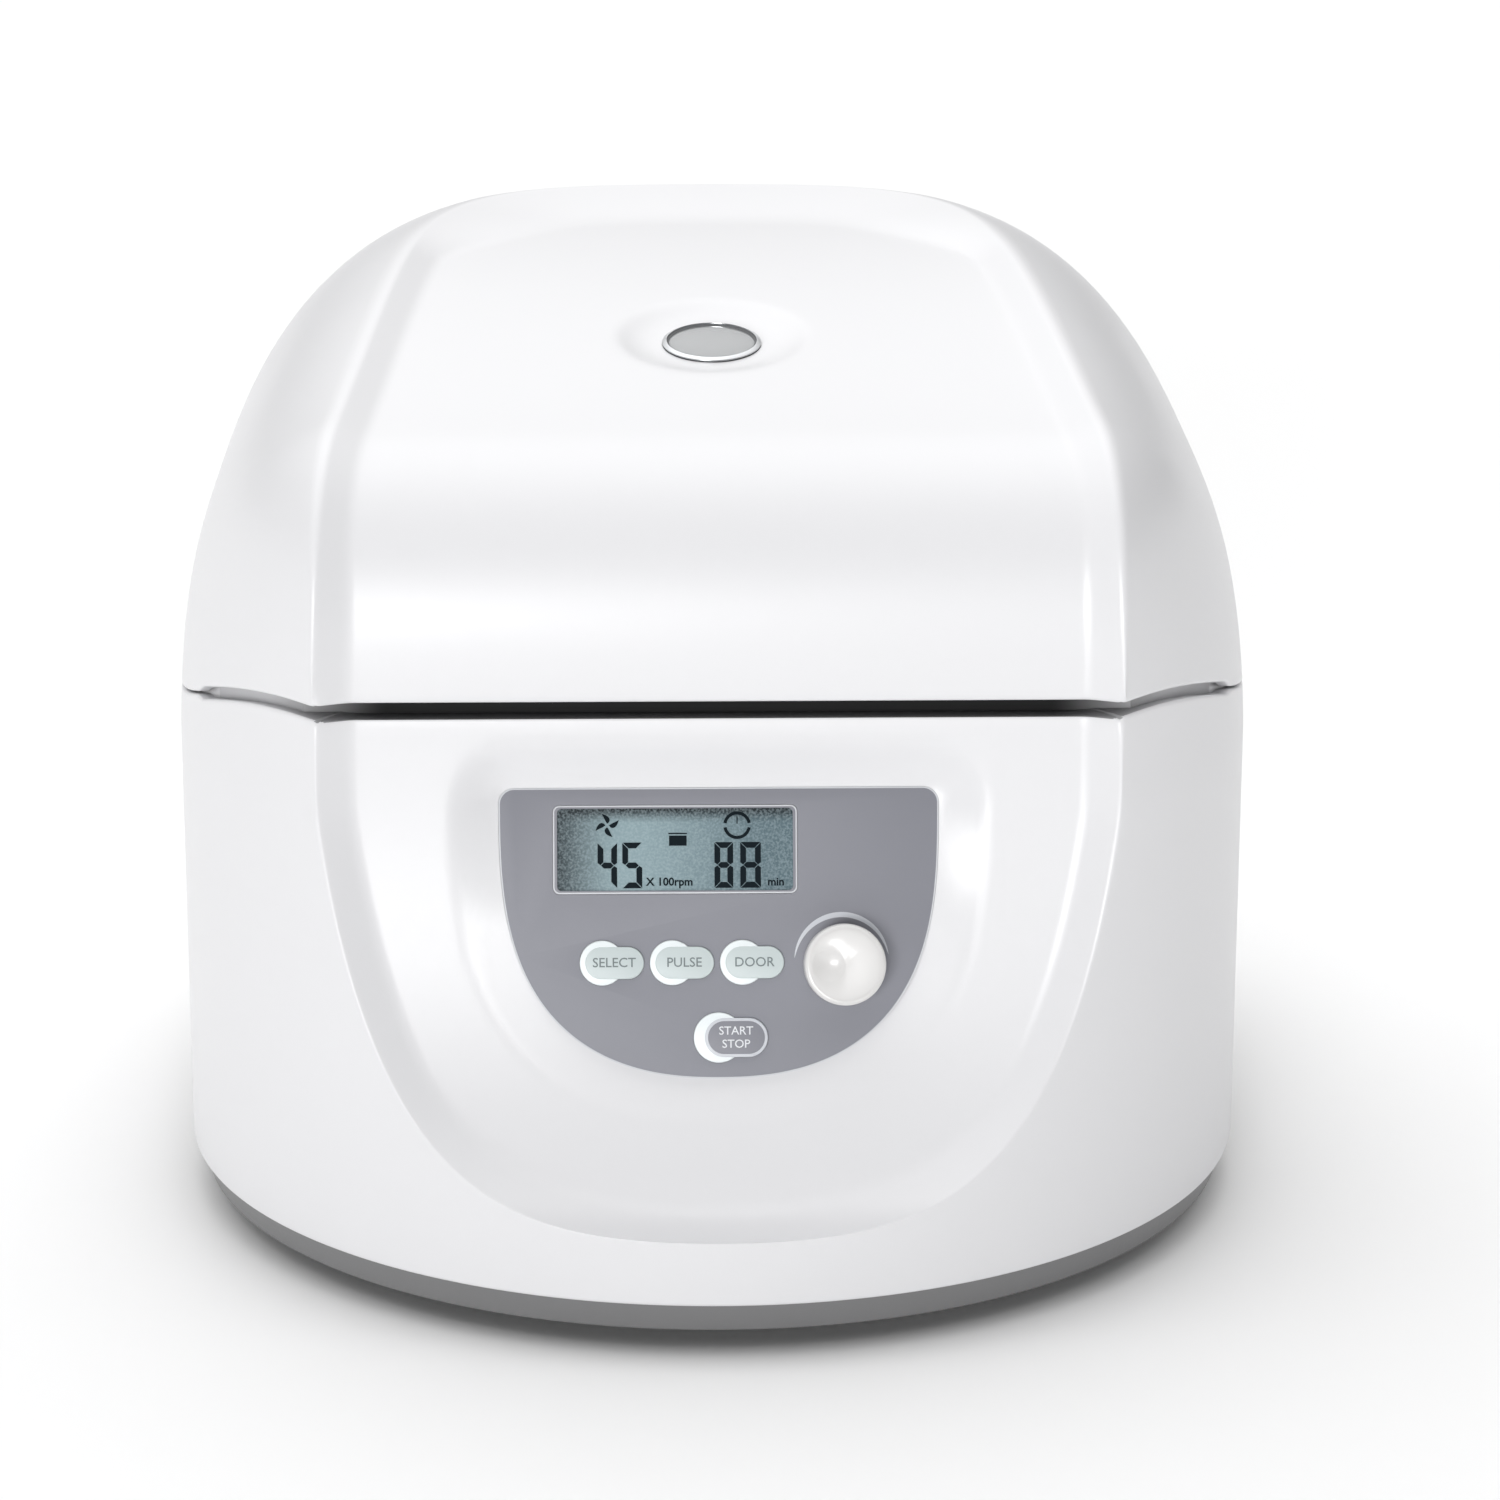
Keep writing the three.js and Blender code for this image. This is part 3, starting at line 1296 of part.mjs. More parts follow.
add(machine, 'lock_body', lockBody(), dark)
add(machine, 'latch_bolt', latchBolt(), steel)
add(lid, 'lid_shell', lidShell(form), white)
add(lid, 'lid_liner', lidLiner(), grey)
add(lid, 'lid_hook', lidHook(), steel)
add(lid, 'sight_tube', sightTube(), dark)
add(windowGroup, 'window_bezel', windowBezel(), steel)
add(windowGroup, 'window_lens', disc(window_radius, -lens_drop, window_thickness - lens_drop, window_sides), glassy)
for (const [side, x] of [['left', -hinge_span], ['right', hinge_span]]) {
  add(machine, `hinge_bracket_${side}`, hingeBracket(x), steel)
  add(machine, `hinge_pin_${side}`, hingePin(x), steel)
  add(lid, `hinge_arm_${side}`, hingeArm(x), steel)
}

add(machine, 'power_board', powerBoard(), board_green)
add(machine, 'power_inlet', powerInlet(), dark)
add(machine, 'fuse_drawer', fuseDrawer(), dark)
add(machine, 'switch_frame', switchFrame(), dark)
const rocker = add(machine, 'power_rocker', powerRocker(), dark)
rocker.position.set(switch_x, rocker_y(), inlet_z)
rocker.rotation.x = rocker_tilt
add(machine, 'vent_grille', ventGrille(), grey)

export default group
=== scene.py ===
# Low-speed bench centrifuge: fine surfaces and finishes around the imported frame.
# Shapes are worked out in millimetres in the machine's own frame (front towards -Y, +Z up, the
# centre of the round front of the plan at the underside of the base pan), then placed in metres.
import math

import bmesh
import bpy
import numpy as np
from mathutils import Matrix, Vector


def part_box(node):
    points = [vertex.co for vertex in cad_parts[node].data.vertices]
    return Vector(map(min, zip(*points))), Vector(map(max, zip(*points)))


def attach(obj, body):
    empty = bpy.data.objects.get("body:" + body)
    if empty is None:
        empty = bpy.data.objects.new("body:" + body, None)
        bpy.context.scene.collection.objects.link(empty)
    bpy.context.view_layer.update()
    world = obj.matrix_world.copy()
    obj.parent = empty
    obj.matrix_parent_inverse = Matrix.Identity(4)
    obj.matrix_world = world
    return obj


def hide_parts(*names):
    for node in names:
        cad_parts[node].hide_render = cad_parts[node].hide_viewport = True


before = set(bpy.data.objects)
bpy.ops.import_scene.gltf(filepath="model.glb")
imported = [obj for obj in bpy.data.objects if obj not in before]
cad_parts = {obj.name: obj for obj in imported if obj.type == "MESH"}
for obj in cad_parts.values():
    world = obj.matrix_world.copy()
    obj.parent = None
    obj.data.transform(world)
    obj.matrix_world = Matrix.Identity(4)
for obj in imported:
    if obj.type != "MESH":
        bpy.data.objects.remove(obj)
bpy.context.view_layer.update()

MM = 0.001
FAR = 300.0
MIRROR = np.array([-1.0, 1.0, 1.0])

# Casing, as in the frame
HALF_WIDTH = 151.2
FRONT_REACH = 150.0
REAR_REACH = 204.0
CROWN_HEIGHT = 264.4
BELT_HEIGHT = 130.0
BASE_HEIGHT = 9.0
BASE_SLANT = 4.0
WALL = 3.0
SEAM = 0.3
OVERRUN = 20.0
EDGE_RADIUS = 0.9

# Where the machine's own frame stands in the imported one
SHIFT = np.array([
    0.0,
    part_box("housing_shell")[0].y / MM + FRONT_REACH,
    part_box("base_tray")[0].z / MM,
])

# Dome: level sections that lean back and shrink towards the crown
SIDE_FALL_SHARES = (2.447, 2.614)
DOME_LEAN = 83.2
LEAN_POWER_SHARE = 1.151
FRONT_DRAW = 291.0
FRONT_DRAW_SHARE = 6.725
REAR_DRAW = 111.9
REAR_DRAW_SHARE = 9.85

# Parting between housing and lid, with the finger groove across the front
PARTING_FRONT = 158.0
PARTING_REAR = 140.0
FINGER_GAP = 3.5
SEAM_GAP = 0.8
GROOVE_END = -45.0
GROOVE_FADE = 3.0
GROOVE_FACE = -102.3
GROOVE_INSET = 1.3
# Distances from the middle over which the groove's painted shade runs out into the casing's grey
GROOVE_WHITE_START = 88.0
GROOVE_WHITE_END = 126.0

# Rim, lip, ledge and deck at the housing's mouth
RIM_WIDTH = 7.0
RIM_SETBACK = 13.5
LIP_INSET = 4.5
LIP_RISE = 1.0
LIP_SETBACK = 11.0
LEDGE_TOP = 130.7
LEDGE_WIDTH = 4.0
LEDGE_THICKNESS = 3.0
DECK_HEIGHT = 134.0
DECK_LOW = 131.0
DECK_GAP = 0.8

# Shield sunk into the housing's front and the lid
SHIELD_BACK = 150.0
SHIELD_DEPTH = 4.5
CREASE_HALF_WIDTH = 107.5
CREASE_TAPER_SHARE = 0.25
CREASE_ROUNDING = 2.6
HOLD_FADE = 4.0
TOE_BAND = 16.0
SIDE_BAND = 11.0
REAR_BAND = 39.0
BAND_ROUND_SHARE = 0.2

# Side profile of the shield, as shares of the front reach (y) and of the crown height (z)
TOE_SHARES = [(-1, 0.0995), (-0.853, 0.112), (-0.717, 0.34), (-0.691, 0.5976)]
VISOR_SHARES = [(-0.691, 0.5976), (-0.68, 0.7186), (-0.66, 0.8396), (-0.4, 0.8642)]
ROOF_SHARES = [(-0.4, 0.8642), (0, 0.902), (0.38, 0.9616), (1, 0.9644)]
TOE_RISE_SHARE = 0.26

# The leaning plane of the control panel: x across, v up the plane, w out of it
PANEL_LEAN = math.radians(18)
PANEL_ORIGIN = np.array([0.0, -107.3, 99.0])
PANEL_X = np.array([1.0, 0.0, 0.0])
PANEL_V = np.array([0.0, math.sin(PANEL_LEAN), math.cos(PANEL_LEAN)])
PANEL_W = np.cross(PANEL_X, PANEL_V)
PANEL = Matrix.Translation(PANEL_ORIGIN) @ Matrix(list(zip(PANEL_X, PANEL_V, PANEL_W))).to_4x4()

# Overlay and the pocket round it
OVERLAY_HALF_WIDTH = 58.6
OVERLAY_TOP = 37.7
OVERLAY_BOTTOM = 39.5
OVERLAY_CORNER = 4.0
OVERLAY_THICKNESS = 1.2
OVERLAY_POWER_SHARES = (3.1, 2.38)
OVERLAY_LINE_OUT = 0.22
OVERLAY_LINE_IN = 0.18
POCKET_SLOPE = 0.465
POCKET_REACH = 12.6
POCKET_POWER = 1.15
POCKET_ROUNDING = 0.4
POCKET_MARGIN = 34.0
POCKET_FLOOR = -OVERLAY_THICKNESS - SEAM
WALL_BACK = POCKET_FLOOR - WALL
BACKING_MARGIN = 16.0
BOARD_DEPTH = 14.7

# Display, in the panel plane
DISPLAY_CENTRE = (-11.7, 21.4)
DISPLAY_OPENING = (65.4, 23.8)
DISPLAY_GLASS = (63.0, 22.0)
DISPLAY_MODULE = (59.0, 17.4)
DISPLAY_LEVEL = -0.35

# Name, x, v, capsule length, capsule height, disc radius, disc offset, body
KEYS = [
    ("select_key", -28.0, -8.8, 15.7, 8.6, 6.0, -3.3, "select"),
    ("pulse_key", -9.3, -8.8, 15.7, 8.6, 6.0, -3.3, "pulse"),
    ("door_key", 9.4, -8.8, 15.7, 8.6, 6.0, -3.3, "door"),
    ("start_stop_key", 4.4, -28.8, 16.9, 10.5, 6.7, -4.7, "start_stop"),
]
KEY_TOP = 0.8
KEY_BOTTOM = -0.6
KEY_GAP = 0.1
KEY_STEM_HOLE = 3.0

KNOB_PLACE = (33.2, -9.4)
KNOB_RADIUS = 10.85
KNOB_LOW = 0.6
KNOB_HEIGHT = 11.0
KNOB_SHAFT_HOLE = 4.8
DIMPLE_PLACE = (-4.3, -0.2, 7.85)
DIMPLE_RADIUS = 9.0

# Window in the lid
AXIS_Y = 30.0
WINDOW_Y = 10.0
WINDOW_TILT = math.radians(10.5)
WINDOW_RADIUS = 12.4
BEZEL_WIDTH = 1.3
BEZEL_FLANGE = 1.6
DISH_RADIUS = 27.0
DISH_DEPTH = 3.0
DISH_FLAT_SHARE = 0.6
DISH_ROUNDING = 0.8
SIGHT_RADIUS = 14.5

# Lid's inside
CROWN_THICKENING = 9.0
POST_RADIUS = 4.0
POST_PLACES = [(-112, -30), (112, -30), (-112, 160), (112, 160)]
LINER_HEIGHT = 161.0
LINER_THICKNESS = 2.5
SKIRT_LOW = 139.7
RIB_RADII = (40.0, 60.0, 80.0)

# Chamber and rotor
BOWL_RADIUS = 104.0
BOWL_WALL = 1.5
BOWL_LOW = 66.0
BOWL_CORNER = 16.0
BOOT_HOLE = 16.0
BOWL_FLANGE = 7.0
GASKET_HEIGHT = 4.0
TUBE_COUNT = 8
TUBE_TILT = math.radians(37.7)
TUBE_LENGTH = 80.0
MOUTH_CIRCLE = 36.0
MOUTH_HEIGHT = 149.0
BORE_RADIUS = 9.6
BORE_WALL = 13.0
HUB_RADIUS = 7.3
NUT_TOP = 159.0
FLUTE_COUNT = 12
FLUTE_CIRCLE = 13.0

# Base and fittings
FOOT_PLACES = [(-82, -72), (82, -72), (-98, 150), (98, 150)]
SLOT_SIZE = (3.6, 39.0)
SLOT_PITCH = 15.0
FITTING_MARGIN = 1.7


def clamp(value, low, high):
    return np.minimum(np.maximum(value, low), high)


def smoothstep(value, low, high):
    t = clamp((value - low) / (high - low), 0.0, 1.0)
    return t * t * (3 - 2 * t)


def lerp(a, b, t):
    return a + (b - a) * t


def unit_rows(rows):
    return rows / np.maximum(np.linalg.norm(rows, axis=1, keepdims=True), 1e-9)


def around(sides):
    """Angles of a whole turn in even steps."""
    return np.linspace(0, 2 * math.pi, sides, endpoint=False)


def quarter(steps, start=0):
    """Angles of a quarter turn in even steps."""
    return (start + np.arange(steps + 1) / steps) * math.pi / 2


# Materials

def linear(color):
    """Linear values of a colour given in steps of 255, fully opaque."""
    share = np.array(color) / 255.0
    return (*np.where(share <= 0.04045, share / 12.92, ((share + 0.055) / 1.055) ** 2.4).tolist(), 1.0)


def add_node(tree, kind, inputs=(), **settings):
    """A new node with its settings and inputs; an input is a value or the output that feeds it."""
    node = tree.nodes.new("ShaderNode" + kind)
    for name, value in settings.items():
        setattr(node, name, value)
    for name, value in dict(inputs).items():
        if isinstance(value, bpy.types.NodeSocket):
            tree.links.new(value, node.inputs[name])
        else:
            node.inputs[name].default_value = value
    return node


class Finish:
    """A material, with the nodes that make its colour, roughness and relief uneven."""

    def __init__(self, name, color, roughness, metallic=0.0, coat=0.0, coat_roughness=0.05, specular=0.5):
        self.material = bpy.data.materials.new(name)
        self.material.use_nodes = True
        self.tree = self.material.node_tree
        self.inputs = self.tree.nodes["Principled BSDF"].inputs
        values = {"Base Color": linear(color), "Roughness": roughness, "Metallic": metallic,
                  "Coat Weight": coat, "Coat Roughness": coat_roughness, "Specular IOR Level": specular}
        for socket, value in values.items():
            self.inputs[socket].default_value = value

    def feed(self, socket, output):
        self.tree.links.new(output, self.inputs[socket])

    def place(self):
        return add_node(self.tree, "TexCoord").outputs["Object"]

    def noise(self, scale, detail=3.0, stretch=(1.0, 1.0, 1.0)):
        mapping = add_node(self.tree, "Mapping", {"Vector": self.place(), "Scale": stretch})
        inputs = {"Vector": mapping.outputs["Vector"], "Scale": scale, "Detail": detail}
        return add_node(self.tree, "TexNoise", inputs).outputs["Fac"]

    def spread(self, value, low, high, start=0.0, end=1.0, kind="LINEAR"):
        inputs = {"Value": value, "From Min": start, "From Max": end, "To Min": low, "To Max": high}
        return add_node(self.tree, "MapRange", inputs, interpolation_type=kind).outputs["Result"]

    def along(self, axis, start, end, both_ways=False):
        """Rises softly from 0 to 1 between two places on an axis."""
        value = add_node(self.tree, "SeparateXYZ", {0: self.place()}).outputs[axis]
        if both_ways:
            value = add_node(self.tree, "Math", {0: value}, operation="ABSOLUTE").outputs[0]
        return self.spread(value, 0.0, 1.0, start * MM, end * MM, "SMOOTHSTEP")

    def blend(self, factor, first, second):
        first, second = (linear(tone) if isinstance(tone, tuple) else tone for tone in (first, second))
        inputs = {"Factor": factor, "A": first, "B": second}
        return add_node(self.tree, "Mix", inputs, data_type="RGBA").outputs["Result"]

    def tint(self, factor, dark, light):
        self.feed("Base Color", self.blend(factor, dark, light))

    def grain(self, noise, low, high, strength):
        """Uneven roughness and a faint relief from one noise."""
        self.feed("Roughness", self.spread(noise, low, high))
        relief = {"Strength": strength, "Distance": 0.2 * MM, "Height": noise}
        self.feed("Normal", add_node(self.tree, "Bump", relief).outputs["Normal"])


def moulded(name, dark, light, roughness, grain=900.0, strength=0.12, broad=14.0, detail=3.0, uneven=0.06,
            **shader):
    finish = Finish(name, light, roughness, **shader)
    finish.tint(finish.noise(broad, detail), dark, light)
    finish.grain(finish.noise(grain, detail), roughness - uneven, roughness + uneven, strength)
    return finish.material


def metal(name, dark, light, roughness, stretch=(1.0, 1.0, 30.0), scale=90.0, share=1.0):
    finish = Finish(name, light, roughness, metallic=share)
    noise = finish.noise(scale, 4.0, stretch)
    finish.tint(noise, dark, light)
    finish.grain(noise, roughness - 0.08, roughness + 0.1, 0.05)
    return finish.material


def lens_material():
    finish = Finish("window_clear", (198, 201, 203), 0.03, coat=0.5)
    finish.inputs["Transmission Weight"].default_value = 0.55
    finish.inputs["IOR"].default_value = 1.49
    finish.feed("Roughness", finish.spread(finish.noise(60.0, 2.0), 0.018, 0.048))
    return finish.material


def painted_groove_shade_material(name, dark):
    """Painted shade for the finger groove: dark across the front, running out into the casing's white round
    the corners.
    """
    finish = Finish(name, dark, 0.6, specular=0.2)
    fade = finish.along("X", GROOVE_WHITE_START, GROOVE_WHITE_END, both_ways=True)
    finish.tint(fade, dark, (214, 214, 216))
    return finish.material


def display_material():
    """A bluish grey face, lighter at the left middle and darker to the right, with painted shade along its
    left and upper edges standing for the frame's shadow, and a fine light grain.
    """
    finish = Finish("display_glass", (140, 162, 170), 0.3, coat=0.1, specular=0.3)
    left = DISPLAY_CENTRE[0] - DISPLAY_GLASS[0] / 2
    top = (PANEL @ Vector((0, DISPLAY_CENTRE[1] + DISPLAY_GLASS[1] / 2, 0))).z + SHIFT[2]
    face = finish.blend(finish.along("X", left + 18, left + 60), (138, 160, 166), (88, 109, 117))
    # Painted shade: a dark band along the left edge
    face = finish.blend(finish.along("X", left - 3, left + 18), (18, 31, 38), face)
    # Painted shade: a dark band along the upper edge
    face = finish.blend(finish.along("Z", top - 4.2, top - 0.2), face, (14, 26, 32))
    finish.tint(finish.spread(finish.noise(1700.0), 0.0, 0.28, 0.4, 0.65), face, (182, 200, 206))
    return finish.material


WHITE = moulded("casing_gloss_white", (227, 227, 229), (230, 230, 232), 0.34, grain=420.0, strength=0.02,
                broad=9.0, detail=2.0, uneven=0.04, coat=0.15, coat_roughness=0.2)
BASE_GREY = moulded("base_satin_grey", (120, 120, 121), (127, 127, 128), 0.42)
# Painted shade inside the finger groove: grey for its lower face, nearly black for its back
PAINTED_GROOVE_SHADE = painted_groove_shade_material("groove_painted_shade", (78, 78, 79))
PAINTED_GROOVE_SHADOW = painted_groove_shade_material("groove_painted_shadow", (24, 24, 25))
LINER_GREY = moulded("liner_grey", (196, 197, 199), (206, 207, 209), 0.45)
OVERLAY = moulded("overlay_foil", (134, 135, 143), (140, 141, 149), 0.5, grain=1600.0, strength=0.06)
OVERLAY_LINE = moulded("overlay_line", (205, 207, 212), (212, 214, 218), 0.45)
KEY_PALE = moulded("key_pale", (198, 208, 209), (204, 214, 214), 0.42, grain=1400.0, strength=0.05)
KEY_WHITE = moulded("key_white", (236, 243, 245), (242, 248, 250), 0.36, grain=1400.0, strength=0.04)
KEY_RING = moulded("key_ring", (203, 206, 213), (209, 212, 218), 0.42, strength=0.04)
KEY_WORD = moulded("key_word", (116, 127, 129), (121, 132, 134), 0.5)
KEY_WORD_LIGHT = moulded("key_word_light", (226, 228, 232), (230, 232, 236), 0.5)
KNOB_WHITE = moulded("knob_white", (219, 218, 217), (224, 223, 222), 0.32, grain=700.0, strength=0.03,
                     coat=0.25)
LCD_INK = moulded("lcd_ink", (10, 22, 28), (14, 26, 33), 0.6, specular=0.1)
DARK = moulded("black_plastic", (38, 38, 41), (47, 47, 50), 0.5)
RUBBER = moulded("black_rubber", (40, 40, 42), (52, 52, 54), 0.8, grain=500.0, strength=0.25)
GASKET = moulded("grey_rubber", (92, 93, 95), (104, 105, 107), 0.7, grain=500.0, strength=0.2)
BOARD = moulded("board_green", (30, 84, 52), (42, 104, 66), 0.45)
SLEEVE = moulded("sleeve_blue", (120, 168, 205), (138, 184, 216), 0.4)
STEEL = metal("brushed_steel", (188, 190, 193), (208, 210, 213), 0.3)
BOWL_STEEL = metal("spun_steel", (202, 204, 206), (218, 220, 222), 0.36, (1.0, 1.0, 60.0), 60.0, 0.6)
ALLOY = metal("cast_alloy", (170, 173, 178), (186, 189, 194), 0.42, (1.0, 1.0, 1.0), 300.0)
CHROME = metal("polished_rim", (176, 178, 180), (206, 208, 210), 0.2, scale=40.0)
LENS = lens_material()


# Meshes

def placed(points, matrix=None):
    points = np.asarray(points, float)
    if matrix is not None:
        points = points @ np.array(matrix)[:3, :3].T + np.array(matrix)[:3, 3]
    return (points + SHIFT) * MM


def weld(points, faces, digits=4):
    """Joins points that share a place, and drops the faces that this closes up."""
    keys = np.round(points, digits) + 0.0
    _, first, index = np.unique(keys, axis=0, return_index=True, return_inverse=True)
    index = index.reshape(-1).tolist()
    rings = [list(dict.fromkeys(index[vertex] for vertex in face)) for face in faces]
    return points[first], [ring for ring in rings if len(ring) > 2]


def add_object(name, data):
    obj = bpy.data.objects.new(name, data)
    bpy.context.scene.collection.objects.link(obj)
    return obj


def make_object(name, points, faces, material, matrix=None):
    """A mesh with its faces turned outward."""
    mesh = bpy.data.meshes.new(name)
    mesh.from_pydata(placed(points, matrix).tolist(), [], faces)
    mesh.validate()
    mesh.materials.append(material)
    work = bmesh.new()
    work.from_mesh(mesh)
    bmesh.ops.recalc_face_normals(work, faces=work.faces)
    if work.calc_volume(signed=True) < 0:
        bmesh.ops.reverse_faces(work, faces=work.faces)
    work.to_mesh(mesh)
    work.free()
    return add_object(name, mesh)


def baked(obj):
    """Puts the result of the modifiers into the mesh."""
    bpy.context.view_layer.update()
    graph = bpy.context.evaluated_depsgraph_get()
    old = obj.data
    mesh = bpy.data.meshes.new_from_object(obj.evaluated_get(graph))
    obj.modifiers.clear()
    obj.data = mesh
    if old.users == 0:
        bpy.data.meshes.remove(old)
    return obj


def cut(obj, *tools, operation="DIFFERENCE"):
    """Cuts each tool out of a piece, or joins or intersects them; the tools are used up."""
    for tool in tools:
        step = obj.modifiers.new("cut", "BOOLEAN")
        step.operation = operation
        step.object = tool
        step.solver = "MANIFOLD"
        baked(obj)
        bpy.data.objects.remove(tool)
    return obj


def bevel(obj, width, angle=40.0):
    step = obj.modifiers.new("edge", "BEVEL")
    step.width = width * MM
    step.segments = 2
    step.limit_method = "ANGLE"
    step.angle_limit = math.radians(angle)
    step.harden_normals = False
    return baked(obj)


def dressed(obj, body, node=None, angle=30.0):
    """Says which body a piece rides on and which node it stands for.
    Edges sharper than the angle stay crisp."""
    if angle:
        for polygon in obj.data.polygons:
            polygon.use_smooth = True
        obj.data.set_sharp_from_angle(angle=math.radians(angle))
    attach(obj, body)
    if node:
        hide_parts(node)


def grid_faces(rows, cols, start=0, flip=False, closed=False):
    """Quads between rows of points; closed rows run on from their last point to their first."""
    faces = []
    for row in range(start, start + (rows - 1) * cols, cols):
        for j in range(cols if closed else cols - 1):
            a, b = row + j, row + (j + 1) % cols
            quad = [a, b, b + cols, a + cols]
            faces.append(quad[::-1] if flip else quad)
    return faces


def capped_faces(levels, count, start=0):
    """Faces of closed loops that lie one above the other, with a cap at both ends."""
    top = start + (levels - 1) * count
    caps = [list(range(start, start + count))[::-1], list(range(top, top + count))]
    return grid_faces(levels, count, start, closed=True) + caps


class Patchwork:
    """Grids and fans of points, gathered and then welded into one surface."""

    def __init__(self):
        self.points = []
        self.faces = []
        self.count = 0

    def grid(self, grid, flip=False, mirror=False):
        grid = np.asarray(grid, float)
        rows, cols = grid.shape[:2]
        self.faces += grid_faces(rows, cols, self.count, flip)
        self.points.append(grid.reshape(-1, 3))
        self.count += rows * cols
        if mirror:
            self.grid(grid * MIRROR, not flip)

    def fan(self, loop, centre, flip=False):
        start, size = self.count, len(loop)
        self.points.append(np.vstack([loop, centre]))
        self.count += size + 1
        for i in range(size):
            face = [start + i, start + (i + 1) % size, start + size]
            self.faces.append(face[::-1] if flip else face)

    def welded(self):
        return weld(np.vstack(self.points), self.faces)


# Outlines, counter-clockwise

def arc(centre, radius, turns):
    return np.column_stack([centre[0] + radius * np.cos(turns), centre[1] + radius * np.sin(turns)])


def circle(radius, sides, centre):
    return arc(centre, radius, around(sides))


def arc_band(centre, inner, outer, start, end, steps=20):
    turns = np.radians(np.linspace(start, end, steps + 1))
    return np.vstack([arc(centre, outer, turns), arc(centre, inner, turns[::-1])])


def rounded_box(size, radius, steps, centre):
    corners = []
    for corner in range(4):
        x = centre[0] + (size[0] / 2 - radius) * (1 if corner in (0, 3) else -1)
        y = centre[1] + (size[1] / 2 - radius) * (1 if corner < 2 else -1)
        corners.append(arc((x, y), radius, quarter(steps, corner)))
    return np.vstack(corners)


def capsule(length, height, centre, steps=14):
    points = rounded_box((length, height), height / 2, steps, centre)
    apart = np.linalg.norm(points - np.roll(points, 1, 0), axis=1) > 0.01
    return points[apart]


def outline_normals(outline):
    ahead, behind = np.roll(outline, -1, 0) - outline, outline - np.roll(outline, 1, 0)
    tangent = unit_rows(unit_rows(ahead) + unit_rows(behind))
    return np.column_stack([tangent[:, 1], -tangent[:, 0]])


def grown(outline, amount):
    return outline + outline_normals(outline) * amount


def rounded(profile, radius, steps):
    """Rounds each inner corner of a profile with an arc-like curve."""
    points = [np.array(point, float) for point in profile]
    result = [points[0]]
    for before, point, after in zip(points, points[1:], points[2:]):
        to_before, to_after = before - point, after - point
        len_before, len_after = np.linalg.norm(to_before), np.linalg.norm(to_after)
        size = min(radius, 0.45 * len_before, 0.45 * len_after)
        start, end = point + to_before / len_before * size, point + to_after / len_after * size
        for t in np.arange(steps + 1) / steps:
            result.append((1 - t) ** 2 * start + 2 * t * (1 - t) * point + t * t * end)
    return result + [points[-1]]


# Turned and extruded pieces; without a name and a material they are tools for a cut

def stack(loops, name="tool", material=WHITE, matrix=None):
    """Closed loops of points, one above the other, as a solid."""
    return make_object(name, np.vstack(loops), capped_faces(len(loops), len(loops[0])), material, matrix)


def lathe(profile, sides, matrix, name="tool", material=WHITE):
    """A profile of (radius, height) turned about z, from axis to axis or else closed on itself."""
    turns = around(sides)
    if profile[0][0] > 0:
        profile = profile + profile[:1]
    rings = [np.column_stack([r * np.cos(turns), r * np.sin(turns), np.full(sides, z)]) for r, z in profile]
    points, faces = weld(np.vstack(rings), grid_faces(len(rings), sides, closed=True))
    return make_object(name, points, faces, material, matrix)


def disc(radius, low, high, matrix, sides=96, material=WHITE):
    return lathe([(0, low), (radius, low), (radius, high), (0, high)], sides, matrix, material=material)


def slab(outline, low, high, name="tool", material=WHITE, edge=0.0, matrix=PANEL):
    """An outline between two heights, its top edge rounded."""
    outline = np.asarray(outline, float)
    normals = outline_normals(outline)
    levels = [(0.0, low)]
    for turn in quarter(3) if edge else [0.0]:
        levels.append((edge * (1 - math.cos(turn)), high - edge + edge * math.sin(turn)))
    loops = [np.column_stack([outline - normals * inset, np.full(len(outline), z)]) for inset, z in levels]
    return stack(loops, name, material, matrix)


def punch(obj, *outlines, low=-OVERRUN, high=OVERRUN, matrix=PANEL):
    """Cuts outlines right through a piece."""
    material = obj.data.materials[0]
    cut(obj, *(slab(outline, low, high, material=material, matrix=matrix) for outline in outlines))


def block(low, high):
    corners = [(low[0], low[1]), (high[0], low[1]), (high[0], high[1]), (low[0], high[1])]
    return slab(corners, low[2], high[2], matrix=None)


def prisms(name, outlines, low, high, material):
    """Several flat outlines in the panel plane as one thin raised piece."""
    points, faces = [], []
    for outline in outlines:
        outline = np.asarray(outline, float)
        ahead = np.roll(outline, -1, 0)
        if (outline[:, 0] * ahead[:, 1] - ahead[:, 0] * outline[:, 1]).sum() < 0:
            outline = outline[::-1]
        faces += capped_faces(2, len(outline), len(points))
        points += [(x, y, z) for z in (low, high) for x, y in outline]
    return make_object(name, points, faces, material, PANEL)


def lettering(name, text, place, height, level, material, body, weight=0.02):
    curve = bpy.data.curves.new(name, "FONT")
    curve.offset = weight
    curve.body = text
    curve.align_x, curve.align_y = "CENTER", "CENTER"
    curve.size = height / 0.7
    curve.extrude = 0.04
    curve.resolution_u = 3
    source = add_object(name + "_source", curve)
    bpy.context.view_layer.update()
    mesh = bpy.data.meshes.new_from_object(source.evaluated_get(bpy.context.evaluated_depsgraph_get()))
    bpy.data.objects.remove(source)
    flat = np.array([tuple(vertex.co) for vertex in mesh.vertices]) + np.array([*place, level])
    for vertex, point in zip(mesh.vertices, placed(flat, PANEL)):
        vertex.co = point
    mesh.materials.clear()
    mesh.materials.append(material)
    dressed(add_object(name, mesh), body, angle=None)


# The dome's skin

